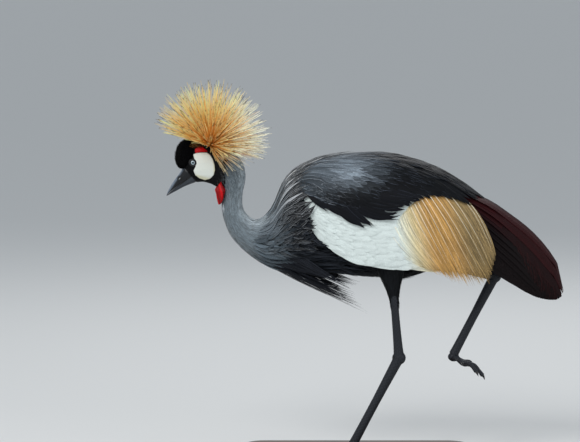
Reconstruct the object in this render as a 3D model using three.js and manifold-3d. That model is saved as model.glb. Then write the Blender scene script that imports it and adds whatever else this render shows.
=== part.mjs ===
// Grey crowned crane, a still life-size model in mid step: it looks along -X, its right side is +Y, +Z is up.
// Lengths are millimetres. x, y and z below are measured from the point on the stand under the hips.
import * as THREE from 'three';
import { mergeVertices } from 'three/addons/utils/BufferGeometryUtils.js';
import Module from 'manifold-3d';

const wasm = await Module();
wasm.setup();

// Stand
const standLength = 440;
const standWidth = 280;
const standHeight = 14;
const standCorner = 36;
const standBevel = 2;
const standMiddle = -69;

// Gap that neighbouring pieces keep
const gap = 0.3;

// Body, from the root of the bill (0) to the rump (18): upper edge x, z, lower edge x, z, half width
const bodySections = [
  [-409, 558, -386, 529.5, 11.5],
  [-404, 575, -378, 530.5, 17],
  [-390, 592, -368, 530.5, 20.5],
  [-357, 601, -353, 526, 22.5],
  [-320, 591, -341, 518, 21.5],
  [-296, 572, -335, 505, 20],
  [-288, 543, -334, 491, 19],
  [-294, 505, -332, 468, 20],
  [-293, 480, -324, 442, 23.5],
  [-284, 465, -314, 423, 27],
  [-267, 456, -290, 397, 36],
  [-239, 474, -244, 366, 49],
  [-205, 534, -180, 352, 63],
  [-140, 568, -110, 352, 71],
  [-60, 577, -41, 346, 72],
  [20, 570, 20, 348, 66],
  [100, 540, 90, 376, 52],
  [165, 494, 150, 404, 34],
  [205, 455, 195, 424, 13.5],
];
const bodySides = 18;
const ringsPerSection = 2;
const headEnd = 5;
const neckMiddle = 7;
const breastStart = 9;
const neckEnd = 11.5;
const bodyEnd = bodySections.length - 1;

// Folded wings and mantle: the outer surface they share, by x: ridge height, half width, depth of its round top
const ridgeHeights = [
  [-214, 520], [-185, 560], [-138, 581], [-55, 590], [14, 585], [94, 561],
  [157, 525], [214, 480], [261, 445], [298, 407], [327, 359], [335, 300],
];
const shellHalfWidths = [
  [-214, 52], [-170, 78], [-100, 89], [-20, 92], [60, 88], [140, 80], [214, 70], [270, 58], [310, 44], [335, 28],
];
const shellDepths = [[-214, 60], [-170, 85], [-100, 100], [140, 100], [214, 95], [270, 90], [310, 80], [335, 60]];

// Bill: upper edge, line of the mouth, lower edge, half width, from root to tip
const billSections = [
  { upper: [-409, 558], mouth: [-395, 541], lower: [-386, 529.5], half: 11 },
  { upper: [-416, 547], mouth: [-404, 534], lower: [-396, 526], half: 9.4 },
  { upper: [-425, 535], mouth: [-415, 526], lower: [-409, 520.5], half: 7 },
  { upper: [-433, 522.5], mouth: [-427, 517], lower: [-423, 513], half: 4.6 },
  { upper: [-439, 511], mouth: [-436, 509], lower: [-434.5, 507], half: 2.4 },
  { upper: [-441.5, 503.5], mouth: [-441, 503.2], lower: [-440, 503.4], half: 0.6 },
];
const billSides = 10;
const mouthGap = 0.5;
const nostril = { x: -414.5, z: 537.5, length: 8, height: 2.4 };
const gape = { length: 9, height: 1, depth: 3 };

// Eyes and lids
const eye = { x: -390, z: 569, y: 12.3, radius: 7.5 };
const lidRadius = 8.8;
const lidOpening = { length: 9.4, height: 7.6 };

// Velvet cap of the forehead
const cap = { x: -404, z: 584, halfLength: 20.5, halfWidth: 19, halfHeight: 30, lean: 10 };

// Bare white cheek and red brow, outlines seen from the side
const cheekOutline = [
  [-389, 585], [-375, 588], [-361, 588], [-352, 578], [-347, 561], [-349, 546],
  [-362, 535.5], [-379, 540], [-388, 552], [-383, 566],
];
const browOutline = [[-385, 591], [-384, 601], [-369, 598.5], [-361, 594], [-364, 592.5], [-376, 592]];
const cheekThickness = 2.2;
const browThickness = 1.6;

// Red wattle of the throat
const wattle = { top: [-333, 540], tip: [-337, 487], halfLength: 17, halfWidth: 25, folds: 7, foldDepth: 0.07 };
const wattleOutline = [[-336, 536], [-328, 526], [-327, 512], [-336, 488], [-341, 489], [-344, 508], [-347, 522]];

// Crest: root on the crown, lean back of its middle, widest turn from that middle, bristles
const crest = { x: -357, z: 599, root: [11, 13, 9], lean: 43, widest: 112, bristles: 142, radius: 0.6, droop: 7 };
// Length of a bristle by its rise above the tail's direction, seen from the side
const bristleLengths = [[-65, 60], [-45, 75], [-20, 96], [0, 110], [35, 125], [85, 130], [130, 128], [150, 124], [162, 112]];
// Least rise of a bristle by its heading: 0 to the tail, 90 sideways, 180 to the bill
const lowestRise = [[0, -58], [60, -38], [90, -4], [140, 12], [180, 22]];

// Feather groups of the back and wings: how many, their tiers, their thickness
const mantle = { perSide: 6, front: -198, spread: 0.62, thickness: 0.7 };
const plume = { upper: 8, lower: 7, thickness: 0.9 };
const secondary = { count: 6, thickness: 1.1, tilt: 1.7 };
const primary = { count: 4, thickness: 1 };
const breastPlumes = { rows: 2, perRow: 4, halfWidth: 6, thickness: 1.5 };
const neckPlumes = { perSide: 3, halfWidth: 9, thickness: 1.2 };

// Tail, under the wings
const tail = { rootLength: 34, rootFall: 26, start: [206, 436], end: [282, 334], halfWidth: 28, arch: 12, feathers: 7 };

// Legs: joints and radii; the left foot stands, the right one is lifted
const hipSide = 38;
const leftLeg = {
  side: -1, thighTop: [-8, 392], thighEnd: [1, 306], ankle: [11, 190], foot: [-80, 17],
};
const rightLeg = {
  side: 1, thighTop: [-25, 392], thighEnd: [112, 361], ankle: [201, 342], foot: [121, 187],
};
const ankleRadius = 13.8;
const legSides = 8;

// Toes: plan angle from straight ahead, length, and root radius; the hind toe points back
const toes = [
  { turn: -27, length: 74, radius: 5.6 },
  { turn: 2, length: 92, radius: 6 },
  { turn: 30, length: 70, radius: 5.6 },
  { turn: 172, length: 24, radius: 4.2 },
];
const toeSides = 5;
const foldedToe = { out: 20, fan: 9 };
const claw = { length: 12, radius: 3.1, droop: 4 };

// Helpers

// Smooth value at x through a short table of x and value
function profile(table) {
  const slopes = table.map((entry, i) => {
    const before = table[Math.max(i - 1, 0)];
    const after = table[Math.min(i + 1, table.length - 1)];
    return (after[1] - before[1]) / (after[0] - before[0]);
  });
  return (x) => {
    let i = 0;
    while (i < table.length - 2 && x > table[i + 1][0]) i += 1;
    const span = table[i + 1][0] - table[i][0];
    const u = (x - table[i][0]) / span;
    if (u < 0) return table[0][1] + slopes[0] * (x - table[0][0]);
    if (u > 1) return table[i + 1][1] + slopes[i + 1] * (x - table[i + 1][0]);
    return (
      table[i][1] * (1 + 2 * u) * (1 - u) ** 2 +
      table[i + 1][1] * u * u * (3 - 2 * u) +
      slopes[i] * span * u * (1 - u) ** 2 -
      slopes[i + 1] * span * u * u * (1 - u)
    );
  };
}

function solid(geometry) {
  geometry.deleteAttribute('normal');
  geometry.deleteAttribute('uv');
  const merged = mergeVertices(geometry, 1e-4);
  const position = merged.attributes.position;
  const index = merged.index.array;
  const a = new THREE.Vector3();
  const b = new THREE.Vector3();
  const c = new THREE.Vector3();
  let volume = 0;
  for (let i = 0; i < index.length; i += 3) {
    a.fromBufferAttribute(position, index[i]);
    b.fromBufferAttribute(position, index[i + 1]);
    c.fromBufferAttribute(position, index[i + 2]);
    volume += a.dot(b.cross(c));
  }
  const triVerts = new Uint32Array(index);
  if (volume < 0) triVerts.reverse();
  return new wasm.Manifold(new wasm.Mesh({
    numProp: 3,
    vertProperties: new Float32Array(position.array),
    triVerts,
  }));
}

function joined(solids) {
  return solids.reduce((whole, piece) => whole.add(piece));
}

function cutBy(piece, ...tools) {
  return tools.reduce((rest, tool) => rest.subtract(tool), piece);
}

function largest(manifold) {
  return manifold.decompose().reduce((best, piece) => (piece.volume() > best.volume() ? piece : best));
}

function geometryOf(manifold) {
  const mesh = largest(manifold).getMesh();
  const geometry = new THREE.BufferGeometry();
  geometry.setAttribute('position', new THREE.BufferAttribute(mesh.vertProperties, 3));
  geometry.setIndex(new THREE.BufferAttribute(mesh.triVerts, 1));
  geometry.computeVertexNormals();
  return geometry;
}

// A closed tube of rings: place(along, angle, rim) gives each point, rim is 0 at the middle of the end faces
function loft(sides, steps, place) {
  const geometry = new THREE.CylinderGeometry(1, 1, 1, sides, steps);
  const position = geometry.attributes.position;
  for (let i = 0; i < position.count; i += 1) {
    const turn = Math.round((Math.atan2(position.getX(i), position.getZ(i)) / (2 * Math.PI)) * sides);
    const angle = (((turn + sides) % sides) / sides) * 2 * Math.PI;
    const rim = Math.hypot(position.getX(i), position.getZ(i)) > 0.5 ? 1 : 0;
    const along = Math.round((0.5 - position.getY(i)) * steps) / steps;
    const point = place(along, rim === 1 ? angle : 0, rim);
    position.setXYZ(i, point.x, point.y, point.z);
  }
  return solid(geometry);
}

// A thin sheet whose two faces are split alike: place(along, across, face), across from -1 to 1, face 0 or 1
function sheet(rows, columns, place) {
  const points = [];
  const index = [];
  const at = (row, column, face) => (face * (rows + 1) + row) * (columns + 1) + column;
  for (let face = 0; face < 2; face += 1) {
    for (let row = 0; row <= rows; row += 1) {
      for (let column = 0; column <= columns; column += 1) {
        points.push(...place(row / rows, (2 * column) / columns - 1, face).toArray());
      }
    }
  }
  const quad = (a, b, c, d) => index.push(a, b, c, a, c, d);
  for (let row = 0; row < rows; row += 1) {
    for (let column = 0; column < columns; column += 1) {
      const a = at(row, column, 1);
      const b = at(row, column + 1, 1);
      const c = at(row + 1, column + 1, 1);
      const d = at(row + 1, column, 1);
      const under = at(0, 0, 1);
      index.push(a, b, c, a, c, d);
      index.push(c - under, b - under, a - under, d - under, c - under, a - under);
    }
    quad(at(row, 0, 0), at(row, 0, 1), at(row + 1, 0, 1), at(row + 1, 0, 0));
    quad(at(row, columns, 1), at(row, columns, 0), at(row + 1, columns, 0), at(row + 1, columns, 1));
  }
  for (let column = 0; column < columns; column += 1) {
    quad(at(0, column + 1, 1), at(0, column, 1), at(0, column, 0), at(0, column + 1, 0));
    quad(at(rows, column, 1), at(rows, column + 1, 1), at(rows, column + 1, 0), at(rows, column, 0));
  }
  const geometry = new THREE.BufferGeometry();
  geometry.setAttribute('position', new THREE.Float32BufferAttribute(points, 3));
  geometry.setIndex(index);
  return solid(geometry);
}

// A three-sided spine that tapers to a point along a course
function spine(radius, steps, course) {
  const geometry = new THREE.ConeGeometry(1, 1, 3, steps);
  const position = geometry.attributes.position;
  for (let i = 0; i < position.count; i += 1) {
    const along = Math.round((position.getY(i) + 0.5) * steps) / steps;
    const centre = course(along);
    const ahead = course(Math.min(along + 0.05, 1)).sub(course(Math.max(along - 0.05, 0))).normalize();
    const across = ahead.clone().cross(vector(0.31, 0.95, 0.05)).normalize();
    const up = across.clone().cross(ahead);
    const rim = Math.hypot(position.getX(i), position.getZ(i)) > 1e-6 && along < 1 ? radius * (1 - 0.45 * along) : 0;
    const turn = Math.round((Math.atan2(position.getX(i), position.getZ(i)) / (2 * Math.PI)) * 3);
    const angle = (((turn + 3) % 3) / 3) * 2 * Math.PI;
    centre.addScaledVector(across, rim * Math.cos(angle)).addScaledVector(up, rim * Math.sin(angle));
    position.setXYZ(i, centre.x, centre.y, centre.z);
  }
  return solid(geometry);
}

// Seeded draw between -1 and 1
let seed = 7;
function jitter() {
  seed = (seed * 16807) % 2147483647;
  return (2 * seed) / 2147483647 - 1;
}

// Share of a feather's full width at a share of its length: narrow root, widest past the middle, pointed tip
const lanceShape = profile([[0, 0.45], [0.3, 0.8], [0.6, 1], [0.85, 0.66], [1, 0.06]]);
const bladeShape = profile([[0, 0.7], [0.3, 1], [0.7, 1], [0.92, 0.75], [1, 0.25]]);

// A vane in a field of feathers: flow(line, along, lift) gives points, line is the feather's place in the row
function fieldVane({ flow, line, spread, from, to, rows, columns, lift, thickness, tilt = 0, shape }) {
  return sheet(rows, columns, (along, across, face) => {
    const reach = THREE.MathUtils.lerp(from, to, along);
    const half = spread * shape(along);
    const thin = thickness * (along > 0.9 ? 0.7 : 1);
    return flow(line + across * half, reach, lift(along) + tilt * across * shape(along) + (face - 0.5) * thin);
  });
}

function ellipsoid(center, radii, columns, rows, lean = 0) {
  const geometry = new THREE.SphereGeometry(1, columns, rows);
  geometry.rotateX(Math.PI / 2);
  geometry.scale(...radii);
  geometry.rotateY(THREE.MathUtils.degToRad(lean));
  geometry.translate(...center);
  return solid(geometry);
}

function vector(x, y, z) {
  return new THREE.Vector3(x, y, z);
}

// Plate of a side-view outline, from one y to another
function sidePlate(outline, fromY, toY, divisions) {
  const curve = new THREE.CatmullRomCurve3(outline.map(([x, z]) => vector(x, z, 0)), true, 'catmullrom', 0.5);
  const shape = new THREE.Shape(curve.getPoints(divisions).slice(0, -1).map((p) => new THREE.Vector2(p.x, p.y)));
  const geometry = new THREE.ExtrudeGeometry(shape, { depth: toY - fromY, bevelEnabled: false });
  geometry.rotateX(Math.PI / 2);
  geometry.translate(0, toY, 0);
  return solid(geometry);
}

// Body surface

const upperLine = new THREE.CatmullRomCurve3(bodySections.map(([x, z, , , half]) => vector(x, half, z)));
const lowerLine = new THREE.CatmullRomCurve3(bodySections.map(([, , x, z, half]) => vector(x, half, z)));

function bodySection(station) {
  const upper = upperLine.getPoint(station / bodyEnd);
  const lower = lowerLine.getPoint(station / bodyEnd);
  const half = (upper.y + lower.y) / 2;
  upper.y = 0;
  lower.y = 0;
  const middle = upper.clone().add(lower).multiplyScalar(0.5);
  const up = upper.clone().sub(lower).normalize();
  return { middle, up, height: upper.distanceTo(lower) / 2, half, ahead: vector(up.z, 0, -up.x) };
}

// Point of the body at a station, turned by an angle from its upper edge, lifted by some millimetres
function bodyPoint(station, angle, lift) {
  const { middle, up, height, half } = bodySection(station);
  return middle
    .addScaledVector(up, (height + lift) * Math.cos(angle))
    .add(vector(0, (half + lift) * Math.sin(angle), 0));
}

// Length of the body between two stations, its end faces set back from the next length
function bodyLength(from, to, lift = 0, setBack = gap / 2) {
  const steps = Math.round((to - from) * ringsPerSection);
  return loft(bodySides, steps, (along, angle, rim) => {
    const station = from + (to - from) * along;
    const { middle, ahead } = bodySection(station);
    const point = rim === 1 ? bodyPoint(station, angle, lift) : middle;
    if (along === 0) point.addScaledVector(ahead, setBack);
    if (along === 1) point.addScaledVector(ahead, -setBack);
    return point;
  });
}

const headSpace = bodyLength(0, neckEnd, gap, -gap);
const trunkSpace = bodyLength(neckMiddle, bodyEnd, gap, -gap);
const bellySpace = bodyLength(neckEnd, bodyEnd, gap, -gap / 2);

// Surface of the folded wings and mantle: q is 0 on the ridge and 1 where the flank stands upright

const ridgeHeight = profile(ridgeHeights);
const shellHalfWidth = profile(shellHalfWidths);
const shellDepth = profile(shellDepths);

function shellBase(x, q) {
  const turn = Math.min(Math.abs(q), 1) * (Math.PI / 2);
  const drop = Math.max(Math.abs(q) - 1, 0);
  const y = Math.sign(q) * shellHalfWidth(x) * (Math.sin(turn) - 0.08 * drop * drop);
  return vector(x, y, ridgeHeight(x) - shellDepth(x) * (1 - Math.cos(turn) + drop));
}

function shellTangents(x, q) {
  const alongX = shellBase(x + 1, q).sub(shellBase(x - 1, q)).multiplyScalar(0.5);
  const alongQ = shellBase(x, q + 0.01).sub(shellBase(x, q - 0.01)).multiplyScalar(50);
  return { alongX, alongQ, out: alongX.clone().cross(alongQ).normalize() };
}

function shellPoint(x, q, lift) {
  return shellBase(x, q).addScaledVector(shellTangents(x, q).out, lift);
}

// q of the point that a side view shows at x and z
function shellTurn(x, z) {
  const fall = (ridgeHeight(x) - z) / shellDepth(x);
  return fall > 1 ? fall : Math.acos(1 - Math.max(fall, 0)) / (Math.PI / 2);
}

const crane = new THREE.Group();

function add(name, piece, color, roughness) {
  const mesh = new THREE.Mesh(geometryOf(piece), new THREE.MeshStandardMaterial({ color, roughness, metalness: 0 }));
  mesh.name = name;
  crane.add(mesh);
}

// Head

function eyeBall(side, radius, columns, rows) {
  return ellipsoid([eye.x, side * eye.y, eye.z], [radius, radius, radius], columns, rows);
}

function lidWindow(side) {
  const outside = side * (eye.y + eye.radius);
  const radii = [lidOpening.length / 2, eye.radius, lidOpening.height / 2];
  return ellipsoid([eye.x, outside, eye.z], radii, 10, 4, 38);
}

function mouthCorner(side) {
  const [x, z] = billSections[0].mouth;
  const geometry = new THREE.BoxGeometry(gape.length, gape.depth * 2, gape.height);
  geometry.rotateY(THREE.MathUtils.degToRad(-38));
  geometry.translate(x + 2.5, side * (billSections[0].half + 0.5), z + 2);
  return solid(geometry);
}

function makeHead() {
  const skull = joined([
    bodyLength(0, headEnd),
    ...[-1, 1].map((side) => eyeBall(side, lidRadius, 10, 6)),
  ]);
  const openings = [-1, 1].flatMap((side) => [
    eyeBall(side, eye.radius + gap, 10, 6),
    lidWindow(side),
    mouthCorner(side),
  ]);
  add('head', cutBy(skull, ...openings), 0x1c1d20, 0.8);
  add('eye_left', eyeBall(-1, eye.radius, 10, 6), 0x96afb9, 0.1);
  add('eye_right', eyeBall(1, eye.radius, 10, 6), 0x96afb9, 0.1);
}

const lidSpace = joined([-1, 1].map((side) => eyeBall(side, lidRadius + gap, 10, 6)));

function capForm(lift) {
  const radii = [cap.halfLength + lift, cap.halfWidth + lift, cap.halfHeight + lift];
  return ellipsoid([cap.x, 0, cap.z], radii, 12, 8, cap.lean);
}

// Bill

function billLoft(edge, lift = 0) {
  const curve = (pick) => new THREE.CatmullRomCurve3(billSections.map((section) => vector(...pick(section))));
  const edgeLine = curve((section) => [section[edge][0], 0, section[edge][1]]);
  const mouthLine = curve((section) => [section.mouth[0], section.half, section.mouth[1]]);
  const axis = vector(-29, 0, -23).normalize();
  return loft(billSides, 6, (along, angle, rim) => {
    const mouth = mouthLine.getPoint(along);
    const half = mouth.y;
    mouth.y = 0;
    const depth = edgeLine.getPoint(along).sub(mouth);
    mouth.addScaledVector(depth.clone().normalize(), mouthGap / 2);
    if (along === 0) mouth.addScaledVector(axis, gap - 4 * lift);
    const rise = Math.max(Math.cos(angle), 0) ** 0.85 * (1 + lift / 8);
    const width = (half + lift) * Math.sin(angle) * rim;
    return mouth.addScaledVector(depth, rise * rim + 0.4 * (1 - rim)).add(vector(0, width, 0));
  });
}

function makeBill() {
  const hole = new THREE.CylinderGeometry(nostril.height / 2, nostril.height / 2, 40, 10);
  hole.scale(nostril.length / nostril.height, 1, 1);
  hole.rotateY(THREE.MathUtils.degToRad(-48));
  hole.translate(nostril.x, 0, nostril.z);
  add('bill_upper', cutBy(billLoft('upper'), solid(hole)), 0x2b2f36, 0.35);
  add('bill_lower', billLoft('lower'), 0x2b2f36, 0.35);
}

// Cap, cheeks, brows and wattle

function makeFace() {
  add('crown_cap', cutBy(capForm(0), headSpace, lidSpace, billLoft('upper', 2 * gap)), 0x08080a, 0.9);
  const capSpace = capForm(gap);
  const crestSpace = crestRoot(gap);
  [['left', -1], ['right', 1]].forEach(([name, side]) => {
    const span = side < 0 ? [-40, -5] : [5, 40];
    const cheek = bodyLength(0, headEnd, cheekThickness).intersect(sidePlate(cheekOutline, ...span, 16));
    const brow = bodyLength(0, headEnd, browThickness).intersect(sidePlate(browOutline, ...span, 10));
    add(`cheek_${name}`, cutBy(cheek, headSpace, lidSpace, capSpace, crestSpace), 0xd7d7cd, 0.7);
    add(`brow_${name}`, cutBy(brow, headSpace, capSpace, crestSpace), 0xbe0a1e, 0.6);
  });
}

function makeWattle() {
  const folds = loft(3 * wattle.folds, 4, (along, angle, rim) => {
    const swell = Math.sin(Math.PI * (0.12 + 0.8 * along)) ** 0.6;
    const wave = 1 + wattle.foldDepth * Math.cos(wattle.folds * angle);
    const x = THREE.MathUtils.lerp(wattle.top[0], wattle.tip[0], along);
    const z = THREE.MathUtils.lerp(wattle.top[1], wattle.tip[1], along);
    return vector(
      x - wattle.halfLength * swell * wave * Math.cos(angle) * rim,
      wattle.halfWidth * swell * wave * Math.sin(angle) * rim,
      z,
    );
  });
  const piece = folds.intersect(sidePlate(wattleOutline, -30, 30, 21));
  add('wattle', cutBy(piece, headSpace), 0xc00c20, 0.55);
}

// Crest

function crestRoot(lift) {
  const radii = crest.root.map((radius) => radius + lift);
  return ellipsoid([crest.x, 0, crest.z], radii, 8, 6);
}

function makeCrest() {
  const lengthOf = profile(bristleLengths);
  const riseOf = profile(lowestRise);
  const middle = vector(0, 0, 1).applyAxisAngle(vector(0, 1, 0), THREE.MathUtils.degToRad(crest.lean));
  const flattest = Math.cos(THREE.MathUtils.degToRad(crest.widest));
  const bristles = [];
  for (let i = 0; i < crest.bristles; i += 1) {
    const fromMiddle = Math.acos(1 - ((i + 0.5) / crest.bristles) * (1 - flattest));
    const around = i * Math.PI * (3 - Math.sqrt(5)) + 0.1 * jitter();
    const way = vector(Math.sin(fromMiddle) * Math.cos(around), Math.sin(fromMiddle) * Math.sin(around), 0);
    way.z = Math.cos(fromMiddle);
    way.applyAxisAngle(vector(0, 1, 0), THREE.MathUtils.degToRad(crest.lean));
    const heading = THREE.MathUtils.radToDeg(Math.acos(way.x / Math.hypot(way.x, way.y)));
    const rise = THREE.MathUtils.radToDeg(Math.asin(way.z));
    if (rise < riseOf(heading)) continue;
    const seen = THREE.MathUtils.radToDeg(Math.atan2(way.z, way.x));
    const length = lengthOf(seen < -70 ? 180 : seen) * (0.95 + 0.05 * jitter());
    const low = rise < -12;
    const start = vector(crest.x, low ? Math.sign(way.y) * 9 : 0, crest.z).addScaledVector(way, 2);
    bristles.push(spine(crest.radius, low ? 3 : 1, (along) => {
      const point = start.clone().addScaledVector(way, length * along);
      point.z -= crest.droop * along * along;
      return low && along > 0.2 ? clearOfNape(point) : point;
    }));
  }
  add('crest', cutBy(joined([crestRoot(0), ...bristles]), headSpace, capForm(gap)), 0xdca55a, 0.85);
}

// Moves a point that would lie in the head or neck out to its side
function clearOfNape(point) {
  for (let station = 2; station <= 8; station += 0.25) {
    const { middle, up, height, half, ahead } = bodySection(station);
    const offset = point.clone().sub(middle);
    if (Math.abs(offset.dot(ahead)) > 8) continue;
    const rise = offset.dot(up) / (height + 3);
    if (Math.abs(rise) > 0.98) continue;
    const least = (half + 3) * Math.sqrt(1 - rise * rise);
    if (Math.abs(point.y) < least) point.y = point.y < 0 ? -least : least;
  }
  return point;
}

// Neck and torso

function makeBody() {
  add('neck_upper', bodyLength(headEnd, neckMiddle), 0x6e7882, 0.85);
  add('neck_lower', bodyLength(neckMiddle, breastStart), 0x6a727c, 0.85);
  add('breast', cutBy(joined([bodyLength(breastStart, neckEnd), ...plumesOfBreast()]), bellySpace), 0x3c4148, 0.85);
  add('torso', bodyLength(neckEnd, bodyEnd), 0x30343a, 0.9);
}

// Long plumes that hang from the breast, and shorter ones that lie on the foot of the neck
function plumesOfBreast() {
  const plumes = [];
  [-1, 1].forEach((side) => {
    for (let row = 0; row < breastPlumes.rows; row += 1) {
      for (let i = 0; i < breastPlumes.perRow; i += 1) {
        const round = (i + 0.5 + 0.5 * (row % 2) - 0.25) / breastPlumes.perRow;
        const angle = Math.PI - THREE.MathUtils.lerp(0.02, 1.2, round);
        const station = 11.15 - 0.4 * row;
        const start = bodyPoint(station, side * angle, -6);
        const out = bodyPoint(station, side * angle, 4).sub(start).normalize();
        const tip = vector(
          THREE.MathUtils.lerp(-54, -70, round) - 26 * row,
          side * (6 + 52 * round + 3 * row),
          276 + 58 * round ** 1.4 - 2 * row,
        );
        const leave = start.clone().addScaledVector(out, 9 + 5 * row).add(vector(24, 0, -6));
        const middle = leave.clone().lerp(tip, 0.5).add(vector(0, side * 4 * round, -4 - 4 * row));
        plumes.push(strap(new THREE.CatmullRomCurve3([start, leave, middle, tip]), out, breastPlumes));
      }
    }
    for (let i = 0; i < neckPlumes.perSide; i += 1) {
      const angle = side * THREE.MathUtils.lerp(0.7, 2.75, (i + 0.5) / neckPlumes.perSide);
      const first = 9.5 + 0.3 * (i % 2);
      const points = [[0, -4], [0.5, 1.6], [1, 2.4], [1.4, 4.5]].map(([on, lift]) => bodyPoint(first + on, angle, lift));
      const out = bodyPoint(first, angle, 20).sub(points[0]);
      plumes.push(strap(new THREE.CatmullRomCurve3(points), out, neckPlumes));
    }
  });
  return plumes;
}

// A flat tapered plume along a curve, lying square to the way out of the body
function strap(curve, out, { halfWidth, thickness }) {
  return sheet(3, 1, (along, across, face) => {
    const ahead = curve.getTangent(along);
    const wide = ahead.clone().cross(out).normalize();
    const up = wide.clone().cross(ahead);
    return curve
      .getPoint(along)
      .addScaledVector(wide, across * halfWidth * lanceShape(along))
      .addScaledVector(up, (face - 0.5) * thickness * (along > 0.9 ? 0.5 : 1));
  });
}

// Plain sheet on the shell: upper and lower give q at x
function shellSheet({ side, fromX, toX, upper, lower, outer, inner, rows, columns }) {
  return sheet(rows, columns, (along, across, face) => {
    const x = THREE.MathUtils.lerp(fromX, toX, along);
    const q = THREE.MathUtils.lerp(upper(x), lower(x), (across + 1) / 2);
    return shellPoint(x, side * q, face === 1 ? outer(x) : inner(x));
  });
}

// Edges of the feather groups seen from the side
const mantleEdge = profile([[-200, 500], [-122, 476], [-45, 447], [10, 467], [53, 499], [121, 500], [193, 488]]);
const wingEdge = profile([[-184, 478], [-158, 430], [-103, 394], [-45, 370], [33, 364], [90, 357]]);
const wingEnd = 88;
const sideCourse = (points) => new THREE.CatmullRomCurve3(points.map(([x, z]) => vector(x, 0, z)));
const plumeStarts = sideCourse([[-14, 402], [2, 462], [36, 490], [80, 500], [132, 492]]);
const plumeBends = sideCourse([[20, 376], [48, 425], [84, 436], [124, 452], [168, 462]]);
const plumeTips = sideCourse([[60, 359], [98, 351], [134, 341], [182, 343], [206, 392]]);
const secondaryTips = sideCourse([
  [334, 303], [318, 300], [297, 301], [277, 307], [258, 320], [236, 338], [203, 362],
]);

// Mantle: line 0 is its front edge on one side, 1 the ridge, 2 the front edge on the other side
function mantleFlow(line, along, lift) {
  const side = line > 1 ? 1 : -1;
  const share = line > 1 ? 2 - line : line;
  const edgeX = THREE.MathUtils.lerp(-122, 193, share);
  const edgeQ = shellTurn(edgeX, mantleEdge(edgeX)) * (share > 0.85 ? (1 - share) / 0.15 : 1);
  const x = THREE.MathUtils.lerp(mantle.front, edgeX, along);
  const q = THREE.MathUtils.lerp(mantle.spread * (1 - share), edgeQ, along);
  return shellPoint(x, side * q, lift);
}

function makeMantle() {
  const core = sheet(4, 8, (along, across, face) => mantleFlow(1 + 0.985 * across, 0.5 * along, face === 1 ? -5.6 : -8.4));
  const vanes = [];
  const tiers = [
    { from: 0.375, to: 1, rows: 5, count: 2 * mantle.perSide + 1, lifts: [-7.9, -6.5] },
    { from: 0.25, to: 0.75, rows: 4, count: 2 * mantle.perSide - 2, lifts: [-5, -3.6] },
    { from: 0.0, to: 0.5, rows: 4, count: 2 * mantle.perSide - 5, lifts: [-2.2, -0.8] },
  ];
  tiers.forEach((tier) => {
    for (let i = 0; i < tier.count; i += 1) {
      const step = (2 * 0.9) / (tier.count - 1);
      const level = tier.lifts[i % 2];
      vanes.push(fieldVane({
        flow: mantleFlow,
        line: 0.1 + i * step,
        spread: 0.5 * step,
        from: tier.from,
        to: tier.to,
        rows: tier.rows,
        columns: 2,
        lift: (along) => THREE.MathUtils.lerp(-6.8, level, THREE.MathUtils.smoothstep(along, 0, 0.24)),
        thickness: mantle.thickness,
        shape: lanceShape,
      }));
    }
  });
  add('mantle', cutBy(joined([core, ...vanes]), trunkSpace), 0x3a424c, 0.8);
}

// Golden plumes hang from under the mantle's edge: line 0 is the foremost, line 1 the last
function plumeFlow(side) {
  return (line, along, lift) => {
    const place = THREE.MathUtils.clamp(line, 0, 1);
    const start = plumeStarts.getPoint(place);
    const tip = plumeTips.getPoint(place);
    const bend = plumeBends.getPoint(place).multiplyScalar(2).addScaledVector(start.clone().add(tip), -0.5);
    const point = start.multiplyScalar((1 - along) ** 2)
      .addScaledVector(bend, 2 * along * (1 - along))
      .addScaledVector(tip, along * along);
    return shellPoint(point.x, side * shellTurn(point.x, point.z), lift);
  };
}

function makePlumes(name, side) {
  const flow = plumeFlow(side);
  const core = sheet(2, 6, (along, across, face) => flow((across + 1) / 2, 0.3 * along, face === 1 ? -9 : -13));
  const vanes = [];
  [[plume.upper, -9.8, 1, 0], [plume.lower, -12, 0.97, 0.5]].forEach(([count, level, to, offset]) => {
    for (let i = 0; i < count; i += 1) {
      vanes.push(fieldVane({
        flow,
        line: (i + 0.5 + offset) / plume.upper,
        spread: 0.46 / plume.upper,
        from: 0.16,
        to: to + 0.04 * jitter(),
        rows: 3,
        columns: 1,
        lift: () => level,
        thickness: plume.thickness,
        shape: lanceShape,
      }));
    }
  });
  add(`plumes_${name}`, joined([core, ...vanes]), 0xc99a58, 0.85);
}

// Maroon flight feathers of the forearm: line 0 follows the ridge, line 1 the lower edge
function secondaryFlow(side) {
  return (line, along, lift) => {
    const tip = secondaryTips.getPoint(THREE.MathUtils.clamp(line, 0, 1));
    const rootX = wingEnd - 8;
    const rootQ = shellTurn(rootX, THREE.MathUtils.lerp(548, 402, line));
    const x = THREE.MathUtils.lerp(rootX, tip.x, along);
    const q = THREE.MathUtils.lerp(rootQ, Math.max(shellTurn(tip.x, tip.z), 0.12), along ** 1.3);
    const rise = 14 * THREE.MathUtils.smoothstep(x, 212, 296);
    return shellPoint(x, side * Math.max(q, 0.03), lift + rise);
  };
}

function makeSecondaries(name, side) {
  const flow = secondaryFlow(side);
  const core = sheet(2, 6, (along, across, face) => flow((across + 1) / 2, 0.22 * along, face === 1 ? -17.5 : -22.5));
  const vanes = [];
  for (let i = 0; i < secondary.count; i += 1) {
    vanes.push(fieldVane({
      flow,
      line: (i + 0.5) / secondary.count,
      spread: 0.76 / secondary.count,
      from: 0.06,
      to: 1,
      rows: 4,
      columns: 2,
      lift: () => -20,
      thickness: secondary.thickness,
      tilt: secondary.tilt,
      shape: bladeShape,
    }));
  }
  const whole = joined([core, ...vanes]).trimByPlane([1, 0, 0], wingEnd + gap / 2);
  add(`secondaries_${name}`, cutBy(whole, trunkSpace, tailRoot(1)), 0x2a1718, 0.75);
}

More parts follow.
